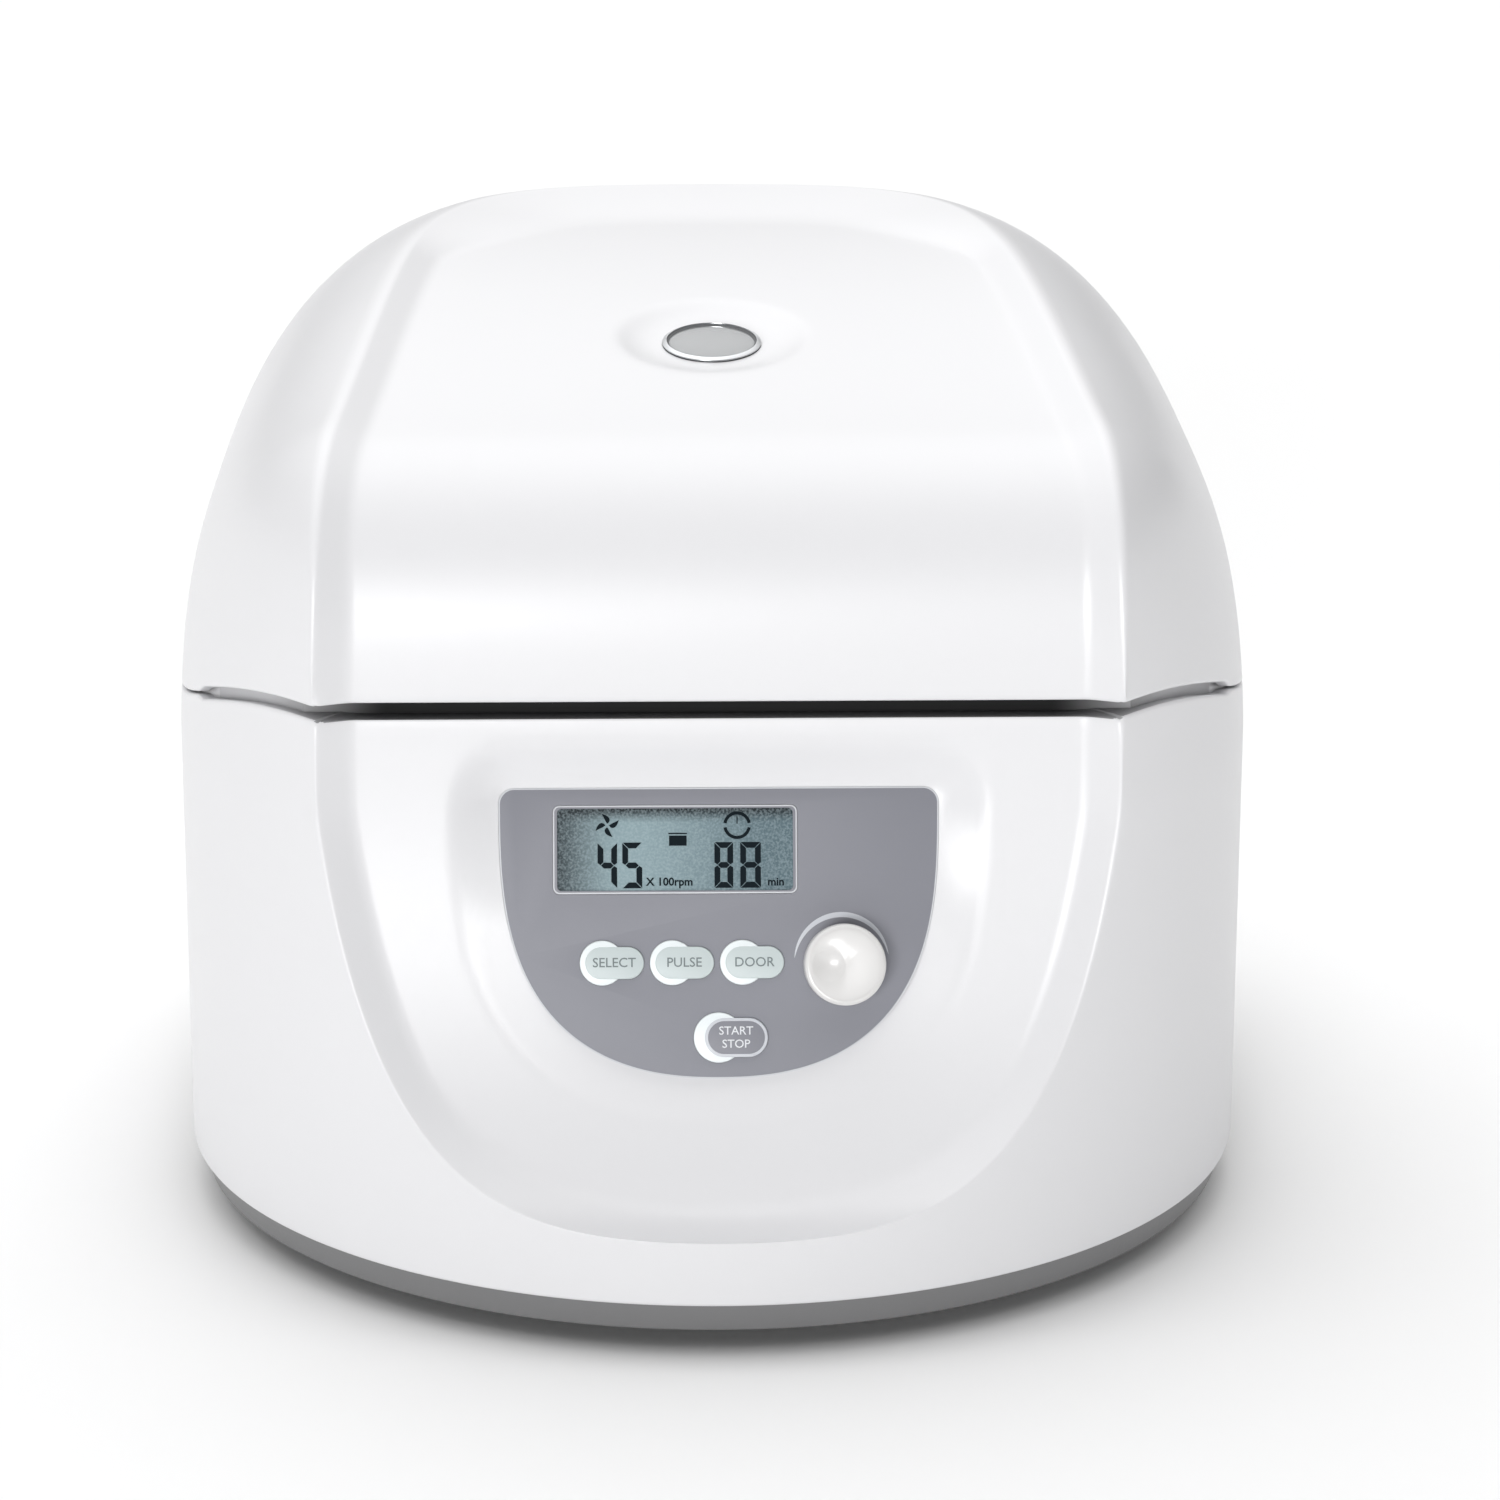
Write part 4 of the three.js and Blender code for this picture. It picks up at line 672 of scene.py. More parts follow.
def section(z):
    w = clamp((np.asarray(z, float) - BELT_HEIGHT) / (CROWN_HEIGHT - BELT_HEIGHT), 0.0, 0.9995)
    power, root = SIDE_FALL_SHARES
    centre = DOME_LEAN * w ** LEAN_POWER_SHARE
    return {
        "centre": centre,
        "half": HALF_WIDTH * (1 - w ** power) ** (1 / root),
        "front": np.maximum(centre + FRONT_REACH - FRONT_DRAW * w ** FRONT_DRAW_SHARE, WALL),
        "rear": REAR_REACH - REAR_DRAW * w ** REAR_DRAW_SHARE - centre,
        "front_power": 2 + 1.37 * w * w,
        "rear_power": 4.39 - 1.63 * w * w,
    }


def skin_point(angle, z, inset=0.0):
    """The skin's point at an angle from the front and a height."""
    angle, z = np.broadcast_arrays(np.asarray(angle, float), np.asarray(z, float))
    s = section(z)
    ahead = np.cos(angle) > 0
    power = np.where(ahead, s["front_power"], s["rear_power"])
    along = np.maximum(np.where(ahead, s["front"], s["rear"]) - inset, SEAM)
    across = np.abs(np.sin(angle)) / np.maximum(s["half"] - inset, SEAM)
    reach = (across ** power + (np.abs(np.cos(angle)) / along) ** power) ** (-1 / power)
    return np.stack([reach * np.sin(angle), s["centre"] - reach * np.cos(angle), z + 0.0], -1)


def skin_half(y, z):
    """The skin's half width at a place."""
    s = section(z)
    ahead = y < s["centre"]
    power = np.where(ahead, s["front_power"], s["rear_power"])
    share = np.abs(y - s["centre"]) / np.where(ahead, s["front"], s["rear"])
    return s["half"] * np.maximum(0.0, 1 - share ** power) ** (1 / power)


def parting_height(y):
    return lerp(PARTING_FRONT, PARTING_REAR, smoothstep(y, -100.0, 0.0))


def parting_edge(y, side):
    """Height of the lid's edge (side 1) or of the housing's (side -1)."""
    gap = lerp(FINGER_GAP, SEAM_GAP, smoothstep(y, GROOVE_END - GROOVE_FADE, GROOVE_END + GROOVE_FADE))
    return parting_height(y) + side * gap / 2


# The shield

def bezier(shares, t):
    p = np.array(shares) * np.array([FRONT_REACH, CROWN_HEIGHT])
    t = np.asarray(t, float)[:, None]
    point = (1 - t) ** 3 * p[0] + 3 * t * (1 - t) ** 2 * p[1] + 3 * t * t * (1 - t) * p[2] + t ** 3 * p[3]
    slope = 3 * (1 - t) ** 2 * (p[1] - p[0]) + 6 * t * (1 - t) * (p[2] - p[1]) + 3 * t * t * (p[3] - p[2])
    return point, slope / np.linalg.norm(slope, axis=1, keepdims=True)


def crease_half(y, z, on_lid):
    if not on_lid:
        return skin_half(y, z)
    start = -FRONT_REACH * VISOR_SHARES[0][0]
    along = clamp((y + start) / (SHIELD_BACK + start), 0.0, 1.0)
    return CREASE_HALF_WIDTH * (1 - CREASE_TAPER_SHARE * along) * np.maximum(0.0, 1 - along ** 10) ** (1 / 3)


def profile_rows(spans, on_lid):
    """Rows along the shield's profile: (curve shares, values of t) in order."""
    points, tangents = (np.vstack(parts) for parts in zip(*(bezier(shares, t) for shares, t in spans)))
    steps = np.linalg.norm(np.diff(points, axis=0), axis=1)
    return {
        "y": points[:, 0],
        "z": points[:, 1],
        "ny": -tangents[:, 1],
        "nz": tangents[:, 0],
        "half": crease_half(points[:, 0], points[:, 1], on_lid),
        "s": np.concatenate([[0.0], np.cumsum(steps)]),
    }


def band_width(rows):
    low = lerp(TOE_BAND, SIDE_BAND, smoothstep(rows["z"], 0.1 * CROWN_HEIGHT, 0.25 * CROWN_HEIGHT))
    high = lerp(SIDE_BAND, REAR_BAND, smoothstep(rows["y"], 0.46 * FRONT_REACH, 0.77 * FRONT_REACH))
    return np.where(rows["z"] < PARTING_FRONT, low, high)


def band_fall(share):
    """The band's slope down from the crease, with a soft end."""
    soft = BAND_ROUND_SHARE
    u = np.minimum(share * (1 + soft), 1 + soft)
    return np.where(u < 1 - soft, u, u - (u - 1 + soft) ** 2 / (4 * soft))


def distance_to_line(points, line):
    best = np.full(len(points), np.inf)
    for a, b in zip(line[:-1], line[1:]):
        span = b - a
        size = span @ span
        if size > 0:
            t = clamp((points - a) @ span / size, 0.0, 1.0)
            gap = points - a - t[:, None] * span
            best = np.minimum(best, np.einsum("ij,ij->i", gap, gap))
    return np.sqrt(best)


def smooth_max(value, radius):
    """Like max(0, value), with a soft start."""
    return np.maximum(0.0, value) + np.maximum(radius - np.abs(value), 0.0) ** 2 / (4 * radius)


def shield_patch(rows, cols_share, depth, rounding):
    """The shield's right half, from the middle to the crease, hollowed further where depth says so."""
    x = rows["half"][:, None] * cols_share
    flat = np.column_stack([x.ravel(), np.repeat(rows["s"], len(cols_share))])
    gap = distance_to_line(flat, np.column_stack([rows["half"], rows["s"]])).reshape(x.shape)
    sink = band_fall(gap / band_width(rows)[:, None]) * SHIELD_DEPTH
    sink[:, -1] = 0.0
    y, z, ny, nz = (rows[key][:, None] + 0 * x for key in ("y", "z", "ny", "nz"))
    normals = np.stack([0 * x, ny, nz], -1).reshape(-1, 3)
    points = np.stack([x, y - ny * sink, z - nz * sink], -1).reshape(-1, 3)
    move = smooth_max(depth(points, normals), rounding)
    return (points - normals * move[:, None]).reshape(*x.shape, 3)


def overlay_outline(steps, corner_steps):
    power, root = OVERLAY_POWER_SHARES
    tall = OVERLAY_TOP + OVERLAY_BOTTOM
    drop = 1 - (1 - OVERLAY_CORNER / tall) * np.linspace(0, 1, steps + 1) ** 2
    side = OVERLAY_HALF_WIDTH * np.maximum(0.0, 1 - drop ** power) ** (1 / root)
    corner = (OVERLAY_HALF_WIDTH - OVERLAY_CORNER, OVERLAY_TOP - OVERLAY_CORNER)
    right = np.vstack([np.column_stack([side, OVERLAY_TOP - drop * tall]),
                       arc(corner, OVERLAY_CORNER, quarter(corner_steps)[1:])])
    return np.vstack([right, right[:0:-1] * MIRROR[:2]])


def outline_distance(points, outline):
    """Distance outside a closed outline, and 0 inside it."""
    line = np.vstack([outline, outline[:1]])
    inside = np.zeros(len(points), bool)
    for a, b in zip(line[:-1], line[1:]):
        crosses = (a[1] > points[:, 1]) != (b[1] > points[:, 1])
        with np.errstate(divide="ignore", invalid="ignore"):
            at = a[0] + (points[:, 1] - a[1]) * (b[0] - a[0]) / (b[1] - a[1])
        inside ^= crosses & (points[:, 0] < at)
    return np.where(inside, 0.0, distance_to_line(points, line))


def pocket_depth(points, normals):
    """How far each point sinks along its inward normal to reach the pocket's wall or floor."""
    rel = points - PANEL_ORIGIN
    near = (np.abs(rel[:, 0]) < OVERLAY_HALF_WIDTH + POCKET_MARGIN) & (
        np.abs(rel @ PANEL_V) < OVERLAY_TOP + POCKET_MARGIN)
    base, way = rel[near], normals[near]
    to_plane = (base @ PANEL_W) / (way @ PANEL_W)
    at = base - way * to_plane[:, None]
    out = outline_distance(np.column_stack([at[:, 0], at @ PANEL_V]), overlay_outline(24, 4))
    out = np.maximum(out - SEAM, 0.0) / POCKET_REACH
    rise = (1 - out) * POCKET_REACH * POCKET_SLOPE
    depth = np.full(len(points), -POCKET_REACH)
    depth[near] = np.where(out < 1, to_plane * (1 - out ** POCKET_POWER), rise)
    return depth


def roof_height(y):
    point, _ = bezier(ROOF_SHARES, np.linspace(0, 1, 400))
    return float(np.interp(y, point[:, 0], point[:, 1]))


WINDOW_ORIGIN = np.array([0.0, WINDOW_Y, roof_height(WINDOW_Y) - SHIELD_DEPTH - DISH_DEPTH])
WINDOW = Matrix.Translation(WINDOW_ORIGIN) @ Matrix.Rotation(WINDOW_TILT, 4, "X")


def dish_depth(points, normals):
    """How far each point sinks to reach the window's dish, by halving the span that holds it."""
    turn = np.array(WINDOW.to_3x3())
    rel = (points - WINDOW_ORIGIN) @ turn
    way = -normals @ turn
    low, high = np.full(len(points), -3 * DISH_DEPTH), np.full(len(points), 4 * DISH_DEPTH)
    flat = DISH_FLAT_SHARE * DISH_RADIUS
    for _ in range(22):
        middle = (low + high) / 2
        at = rel + way * middle[:, None]
        over = np.maximum(np.hypot(at[:, 0], at[:, 1]) - flat, 0.0) / (DISH_RADIUS - flat)
        above = at[:, 2] > DISH_DEPTH * over ** 2
        low, high = np.where(above, middle, low), np.where(above, high, middle)
    return (low + high) / 2


def close_edge(work, right, side, height):
    """Mirrors a right half loop, turns the edge inward (side 1 up, -1 down) and caps it."""
    loop = np.vstack([right, right[1:-1][::-1] * MIRROR])
    plan = loop[:, :2]
    ahead = np.roll(plan, -1, 0) - np.roll(plan, 1, 0)
    normal = unit_rows(np.column_stack([ahead[:, 1], -ahead[:, 0]]))
    if np.einsum("ij,ij->i", plan - plan.mean(0), normal).sum() < 0:
        normal = -normal
    rows = []
    for turn in quarter(4):
        inset, rise = EDGE_RADIUS * (1 - math.cos(turn)), EDGE_RADIUS * math.sin(turn)
        rows.append(np.column_stack([plan - normal * inset, loop[:, 2] + side * rise]))
    hub = np.array([0.0, AXIS_Y + OVERRUN, 0.0])
    inner = rows[-1] + (hub - rows[-1]) * 0.09
    inner[:, 2] = height(inner[:, 1])
    hub[2] = height(hub[1])
    work.grid(np.array([np.vstack([row, row[:1]]) for row in rows + [inner]]), flip=side > 0)
    work.fan(inner, hub, flip=side > 0)


def smooth_crease(points, faces, line, hold_low, hold_high, rounds=10):
    """Rounds the mesh near the crease; heights between the two holds stay."""
    gap = np.minimum(distance_to_line(points, line), distance_to_line(points, line * MIRROR))
    weight = np.maximum(0.0, 1 - (gap / CREASE_ROUNDING) ** 2) ** 2
    over_low, over_high = (smoothstep(points[:, 2], hold, hold + HOLD_FADE) for hold in (hold_low, hold_high))
    freedom = np.column_stack([np.ones((len(points), 2)), 1 - over_low * (1 - over_high)])
    pairs = {(min(pair), max(pair)) for face in faces for pair in zip(face, face[1:] + face[:1])}
    pairs = np.array(sorted(pairs))
    pairs = pairs[(weight[pairs] > 0).any(1)]
    pairs = np.vstack([pairs, pairs[:, ::-1]])
    count = np.bincount(pairs[:, 0], minlength=len(points))
    for _ in range(rounds):
        total = np.zeros_like(points)
        np.add.at(total, pairs[:, 0], points[pairs[:, 1]])
        mean = total / np.maximum(count, 1)[:, None]
        points = points + (mean - points) * weight[:, None] * 0.5 * freedom
    return points


def closed_skin(patch, side, edges, hold_low, hold_high):
    """Shield patch and round side with their mirrors, the edges closed and the crease rounded."""
    work = Patchwork()
    work.grid(patch, mirror=True)
    work.grid(side, flip=True, mirror=True)
    for edge in edges:
        close_edge(work, *edge)
    points, faces = work.welded()
    return smooth_crease(points, faces, patch[:, -1], hold_low, hold_high), faces


def solve_parting(shares, side):
    """The t on a profile curve where it meets the parting's edge."""
    t = np.linspace(0, 1, 4000)
    point, _ = bezier(shares, t)
    gap = point[:, 1] - parting_edge(point[:, 0], side)
    order = np.argsort(gap)
    return float(np.interp(0.0, gap[order], t[order]))


def edge_points(angles, side):
    """Points of the skin at the parting's rounded edge, found by going round a few times."""
    points = skin_point(angles, np.full(len(angles), PARTING_REAR))
    for _ in range(8):
        points = skin_point(angles, parting_edge(points[:, 1], side) + side * EDGE_RADIUS)
    return points


def crowded(count, power):
    """Steps from 0 to 1 that crowd towards 1."""
    return 1 - (1 - np.linspace(0, 1, count)) ** power


# Housing

FAN_START = 60.0
FAN_SPREAD = math.radians(4.5)
FAN_POWER = 5.0


def body_block():
    """The housing's outer skin: the shield in front and the round side, closed above and below."""
    top_t = solve_parting(TOE_SHARES, -1) - EDGE_RADIUS / (TOE_RISE_SHARE * CROWN_HEIGHT) / 2
    rows = profile_rows([(TOE_SHARES, np.linspace(0, 1, 118) ** 1.7 * top_t)], False)
    rows["half"][0] = 0.0
    shares = np.concatenate([np.linspace(0, 0.86, 66)[:-1], np.linspace(0.86, 1, 26)])
    patch = shield_patch(rows, shares, pocket_depth, POCKET_ROUNDING)
    crease = patch[:, -1]
    low = BASE_HEIGHT + SEAM
    angles = np.arctan2(rows["half"], section(rows["z"])["centre"] - rows["y"])
    climbed = clamp((crease[:, 2] - FAN_START) / (crease[-1, 2] - FAN_START), 0.0, 1.0)
    feet = np.maximum.accumulate(angles) + FAN_SPREAD * climbed ** 1.5
    rest = np.linspace(0, 1, 110)[1:] ** 1.35
    tops_angle = lerp(angles[-1], math.pi, rest)
    tops = edge_points(tops_angle, -1)
    v = crowded(40, 1.5)
    top_z = np.concatenate([crease[:, 2], tops[:, 2]])[:, None]
    foot_turn = np.concatenate([feet, lerp(feet[-1], math.pi, rest)])[:, None]
    top_turn = np.concatenate([angles, tops_angle])[:, None]
    side = skin_point(lerp(foot_turn, top_turn, v ** FAN_POWER), lerp(low, top_z, v))
    side[:len(crease), -1] = crease
    side[-1, :, 0] = 0.0
    edges = [(np.vstack([patch[-1], side[len(crease):, -1]]), 1, lambda y: parting_edge(y, -1)),
             (side[:, 0], -1, lambda y: np.full_like(y, low - EDGE_RADIUS * 0.4))]
    return closed_skin(patch, side, edges, PARTING_FRONT - 10, PARTING_FRONT + 20)


def side_prism(outline):
    """An outline in (y, z) drawn right across the machine."""
    span = HALF_WIDTH + OVERRUN
    return stack([np.column_stack([np.full(len(outline), x), outline]) for x in (-span, span)])


def inner_form(inset, shield_inset, low, high, steps=1, thickening=0.0):
    """What lies inside the skin and the shield, at their insets, between two heights."""
    rings = []
    for i in range(steps + 1):
        z = lerp(low, high, 1 - (1 - i / steps) ** 1.5)
        risen = float(clamp((z - BELT_HEIGHT) / (CROWN_HEIGHT - BELT_HEIGHT), 0.0, 1.0))
        rings.append(skin_point(around(96), z, inset + thickening * risen ** 2))
    t, roof_t = np.linspace(0, 1, 24), np.linspace(0, 1, 16)
    rows = profile_rows([(TOE_SHARES, t), (VISOR_SHARES, t[1:]), (ROOF_SHARES, roof_t[1:])], True)
    outline = np.column_stack([rows["y"] - rows["ny"] * shield_inset, rows["z"] - rows["nz"] * shield_inset])
    outline[0, 1] = -OVERRUN
    far = REAR_REACH + OVERRUN
    outline = np.vstack([outline, [far, outline[-1, 1]], [far, -OVERRUN]])
    return cut(stack(rings, "inner"), side_prism(outline), operation="INTERSECT")


def under_parting(rise):
    y = np.linspace(-100, 0, 60)
    line = np.column_stack([y, parting_edge(y, -1) + rise])
    far, low = REAR_REACH + OVERRUN, -OVERRUN
    return side_prism(np.vstack([[-far, line[0, 1]], line, [far, line[-1, 1]], [far, low], [-far, low]]))


def on_axis(x=0.0, y=AXIS_Y):
    return Matrix.Translation((x, y, 0))


def own_box(node):
    """A node's corners in the machine's own frame."""
    low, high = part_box(node)
    return np.array(low) / MM - SHIFT, np.array(high) / MM - SHIFT


def paint_groove_shade(body):
    """Paints shade inside the finger groove across the front: its lower face a grey painted shade, its back a
    nearly black painted shadow.
    """
    body.data.materials.append(PAINTED_GROOVE_SHADE)
    body.data.materials.append(PAINTED_GROOVE_SHADOW)
    for polygon in body.data.polygons:
        x, y, z = np.array(polygon.center) / MM - SHIFT
        above = z - parting_edge(y, -1)
        inside = y > GROOVE_FACE and abs(x) < skin_half(y, z) - GROOVE_INSET
        if y < GROOVE_END and inside and above > -EDGE_RADIUS:
            # Faces above the seam or not facing up get the near-black painted shadow; the upward-facing lower
            # face gets the grey painted shade
            polygon.material_index = 2 if above > SEAM or polygon.normal.z < 0.5 else 1


def build_housing():
    body = make_object("housing_fine", *body_block(), WHITE)
    top = PARTING_FRONT + OVERRUN
    lip = inner_form(LIP_INSET, LIP_SETBACK, LEDGE_TOP, top, 4)
    cut(lip, under_parting(LIP_RISE + FINGER_GAP), operation="INTERSECT")
    cut(body, lip, operation="UNION")
    cut(body, inner_form(RIM_WIDTH, RIM_SETBACK, LEDGE_TOP, top, 4))
    outline = overlay_outline(24, 4)
    for inset, low, high in ((WALL, -OVERRUN, LEDGE_TOP - LEDGE_THICKNESS),
                             (RIM_WIDTH + LEDGE_WIDTH, DECK_LOW - OVERRUN, LEDGE_TOP)):
        hollow = inner_form(inset, SHIELD_DEPTH + WALL, low, high)
        cut(hollow, slab(grown(outline, BACKING_MARGIN), WALL_BACK, BACKING_MARGIN))
        cut(body, hollow)
    space = slab(outline, -BOARD_DEPTH, WALL_BACK)
    cut(space, block((-FAR, -FAR, LEDGE_TOP), (FAR, FAR, FAR)))
    cut(body, space)
    punch(body, grown(overlay_outline(40, 8), SEAM), low=POCKET_FLOOR)
    punch(body, rounded_box(DISPLAY_MODULE, 1, 8, DISPLAY_CENTRE), circle(KNOB_SHAFT_HOLE, 24, KNOB_PLACE),
          *(circle(KEY_STEM_HOLE, 24, key[1:3]) for key in KEYS), high=1)
    margin = np.array([FITTING_MARGIN, OVERRUN, FITTING_MARGIN])
    for node in ("power_inlet", "fuse_drawer", "switch_frame", "vent_grille"):
        low, high = own_box(node)
        low[1] = high[1]
        cut(body, block(low + margin * (1, -1, 1), high + margin * (-1, 1, -1)))
    paint_groove_shade(body)
    dressed(body, "root", "housing_shell", 38)


# Lid

def lid_block():
    """The lid's outer skin: the shield from the parting to the rear and the round side, closed below."""
    visor = lerp(solve_parting(VISOR_SHARES, 1), 1, np.linspace(0.012, 1, 70))
    rows = profile_rows([(VISOR_SHARES, visor), (ROOF_SHARES, crowded(96, 1.7)[1:])], True)
    rows["half"][-1] = 0.0
    shares = np.concatenate([np.linspace(0, 0.8, 46)[:-1], np.linspace(0.8, 1, 30)])
    patch = shield_patch(rows, shares, dish_depth, DISH_ROUNDING)
    crease = patch[:, -1]
    z = crease[:, 2]
    angle = np.arctan2(rows["half"], section(z)["centre"] - rows["y"])
    foot_angle = lerp(angle[0], math.pi, np.linspace(0, 1, len(z)) ** 1.15)
    base = edge_points(foot_angle, 1)
    base[0] = crease[0]
    shift = crease[:, :2] - skin_point(angle, z)[:, :2]
    even = np.linspace(0, 1, 44)
    columns = []
    for k in lerp(even, 0.5 - 0.5 * np.cos(even * math.pi), 0.6):
        at = skin_point(lerp(foot_angle, angle, k ** 1.5), lerp(base[:, 2], z, k))
        at[:, :2] += shift * k ** 4
        columns.append(at)
    side = np.stack(columns, 1)
    side[:, 0] = base
    side[:, -1] = crease
    side[0] = crease[0]
    side[-1, :, 0] = 0.0
    edge = (np.vstack([patch[0], side[1:, 0]]), -1, lambda y: parting_edge(y, 1))
    return closed_skin(patch, side, [edge], PARTING_FRONT - 20, PARTING_FRONT + 6)


def build_lid():
    lid = make_object("lid_fine", *lid_block(), WHITE)
    hollow = inner_form(WALL, SHIELD_DEPTH + WALL, BELT_HEIGHT - OVERRUN, CROWN_HEIGHT - 1.5 * WALL, 14,
                        CROWN_THICKENING)
    cut(hollow, disc(DISH_RADIUS + WALL, -WALL, OVERRUN, WINDOW))
    for x, y in POST_PLACES:
        cut(hollow, disc(POST_RADIUS, LINER_HEIGHT + LINER_THICKNESS + SEAM, CROWN_HEIGHT, on_axis(x, y), 32))
    cut(lid, hollow, disc(WINDOW_RADIUS + BEZEL_WIDTH + SEAM, -OVERRUN, OVERRUN, WINDOW))
    dressed(lid, "lid", "lid_shell", 38)


# Control panel, with heights above its leaning plane

def key_outlines(key, grow=0.0):
    _, x, v, length, height, radius, offset, _ = key
    return circle(radius + grow, 64, (x + offset, v)), capsule(length + 2 * grow, height + 2 * grow, (x, v))


def build_overlay():
    outline = overlay_outline(60, 12)
    overlay = slab(outline, -OVERLAY_THICKNESS, 0, "overlay_fine", OVERLAY, 0.2)
    key_holes = [hole for key in KEYS for hole in key_outlines(key, KEY_GAP)]
    punch(overlay, rounded_box(DISPLAY_OPENING, 1.9, 8, DISPLAY_CENTRE), *key_holes,
          circle(KNOB_SHAFT_HOLE - SEAM, 32, KNOB_PLACE))
    dressed(overlay, "root", "control_overlay")
    rim = slab(grown(outline, OVERLAY_LINE_OUT), -OVERLAY_THICKNESS, 0.04, "overlay_rim", OVERLAY_LINE)
    punch(rim, grown(outline, -OVERLAY_LINE_IN))
    dressed(rim, "root")


SEGMENTS = {"4": "bcfg", "5": "acdfg", "8": "abcdefg"}
# Each digit with its left edge and width
DIGITS = (("4", -32.4, 5.2), ("5", -25.8, 5.3), ("8", -1.2, 5.0), ("8", 5.7, 5.5))
DIGIT_LOW = 11.1
DIGIT_HEIGHT = 12.2
# Left, right, low and high of the clock's hand and of the two bars in the middle
STROKES = [(4.75, 5.05, 28.2, 30.2), (-13.3, -8.6, 22.4, 25.1), (-13.5, -8.5, 25.5, 25.85)]
FAN_CENTRE = np.array([-29.8, 27.9])
FAN_RADIUS = 3.4
CLOCK_CENTRE = (4.9, 27.8)
UNIT_HEIGHT = 2.1
UNIT_WEIGHT = 0.07


def digit(character, left, width, bar=1.55, gap=0.13):
    """The lit segments of one digit, each a slanted bar."""
    height, middle, half = DIGIT_HEIGHT, DIGIT_HEIGHT / 2, bar / 2
    inner, inset = width - bar, bar + gap
    shapes = {
        "a": [(gap, height), (width - gap, height), (inner - gap, height - bar), (inset, height - bar)],
        "b": [(width, height - gap), (inner, height - inset), (inner, middle + half + gap),
              (width - half, middle + gap), (width, middle + gap + bar / 3)],
        "c": [(width, gap), (inner, inset), (inner, middle - half - gap), (width - half, middle - gap),
              (width, middle - gap - bar / 3)],
        "d": [(gap, 0), (width - gap, 0), (inner - gap, bar), (inset, bar)],
        "g": [(half + gap, middle), (inset, middle + half), (inner - gap, middle + half),
              (width - half - gap, middle), (inner - gap, middle - half), (inset, middle - half)],
    }
    for key, opposite in (("f", "b"), ("e", "c")):
        shapes[key] = [(width - x, y) for x, y in shapes[opposite]]
    return [[(left + x, DIGIT_LOW + y) for x, y in shapes[key]] for key in SEGMENTS[character]]


def fan_icon():
    blades = []
    t = np.linspace(0, 1, 9)[:, None]
    reach = FAN_RADIUS * (0.14 + 0.86 * t)
    half = 0.27 * FAN_RADIUS * np.sin(math.pi * t ** 0.8) + 0.02
    for k in range(4):
        turn = (k + 0.28 * t) * math.pi / 2
        middle = FAN_CENTRE + np.hstack([np.cos(turn), np.sin(turn)]) * reach
        side = np.hstack([-np.sin(turn), np.cos(turn)]) * half
        blades.append(np.vstack([middle - side, (middle + side * 0.4)[::-1]]))
    return blades


def build_display():
    opening = rounded_box(DISPLAY_OPENING, 1.9, 8, DISPLAY_CENTRE)
    glass = rounded_box(DISPLAY_GLASS, 1.3, 8, DISPLAY_CENTRE)
    border = slab(grown(opening, -SEAM), -OVERLAY_THICKNESS, 0.1, "display_border", OVERLAY, 0.1)
    punch(border, glass, low=-0.5)
    dressed(border, "root", "display_lens")
    line = slab(grown(opening, -0.1), -0.1, 0.14, "display_line", OVERLAY_LINE, 0.05)
    punch(line, grown(opening, -0.5))
    dressed(line, "root")
    face = slab(grown(glass, -0.02), -0.49, DISPLAY_LEVEL, "display_face", display_material())
    dressed(face, "root", angle=None)
    marks = [segment for row in DIGITS for segment in digit(*row)] + fan_icon()
    marks += [arc_band(CLOCK_CENTRE, 2.85, 3.7, start, start + 160) for start in (10, 190)]
    marks += [[(left, low), (right, low), (right, high), (left, high)] for left, right, low, high in STROKES]
    ink = prisms("display_marks", marks, DISPLAY_LEVEL - 0.1, DISPLAY_LEVEL + 0.06, LCD_INK)
    dressed(ink, "root", angle=None)
    level = DISPLAY_LEVEL + 0.03
    for name, text, place in (("speed", "X 100rpm", (-13.2, 12.7)), ("time", "min", (15.2, 12.6))):
        lettering("display_unit_" + name, text, place, UNIT_HEIGHT, level, LCD_INK, "root", UNIT_WEIGHT)


def build_keys():
    for key in KEYS:
        node, x, v, length, height, _, _, body = key
        start = node == "start_stop_key"
        round_end, bar_outline = key_outlines(key)
        cap = slab(round_end, KEY_BOTTOM, KEY_TOP - 0.1, node + "_disc", KEY_WHITE, 0.3)
        dressed(cap, body, node, 40)
        pale = KEY_RING if start else KEY_PALE
        bar = slab(bar_outline, KEY_BOTTOM, KEY_TOP + 0.05, node + "_bar", pale, 0.3)
        dressed(bar, body, angle=40)
        if start:
            inner = capsule(length - 1.7, height - 1.7, (x, v))
            face = slab(inner, KEY_BOTTOM, KEY_TOP + 0.12, node + "_face", OVERLAY, 0.1)
            dressed(face, body, angle=40)
        tall, level, ink = (2.2, KEY_TOP + 0.14, KEY_WORD_LIGHT) if start else (2.5, KEY_TOP + 0.07, KEY_WORD)
        words = node[:-len("_key")].upper().split("_")
        for k, word in enumerate(words):
            drop = ((len(words) - 1) / 2 - k) * 3.5
            lettering("%s_word_%d" % (node, k), word, (x - 0.1, v + drop), tall, level, ink, body)


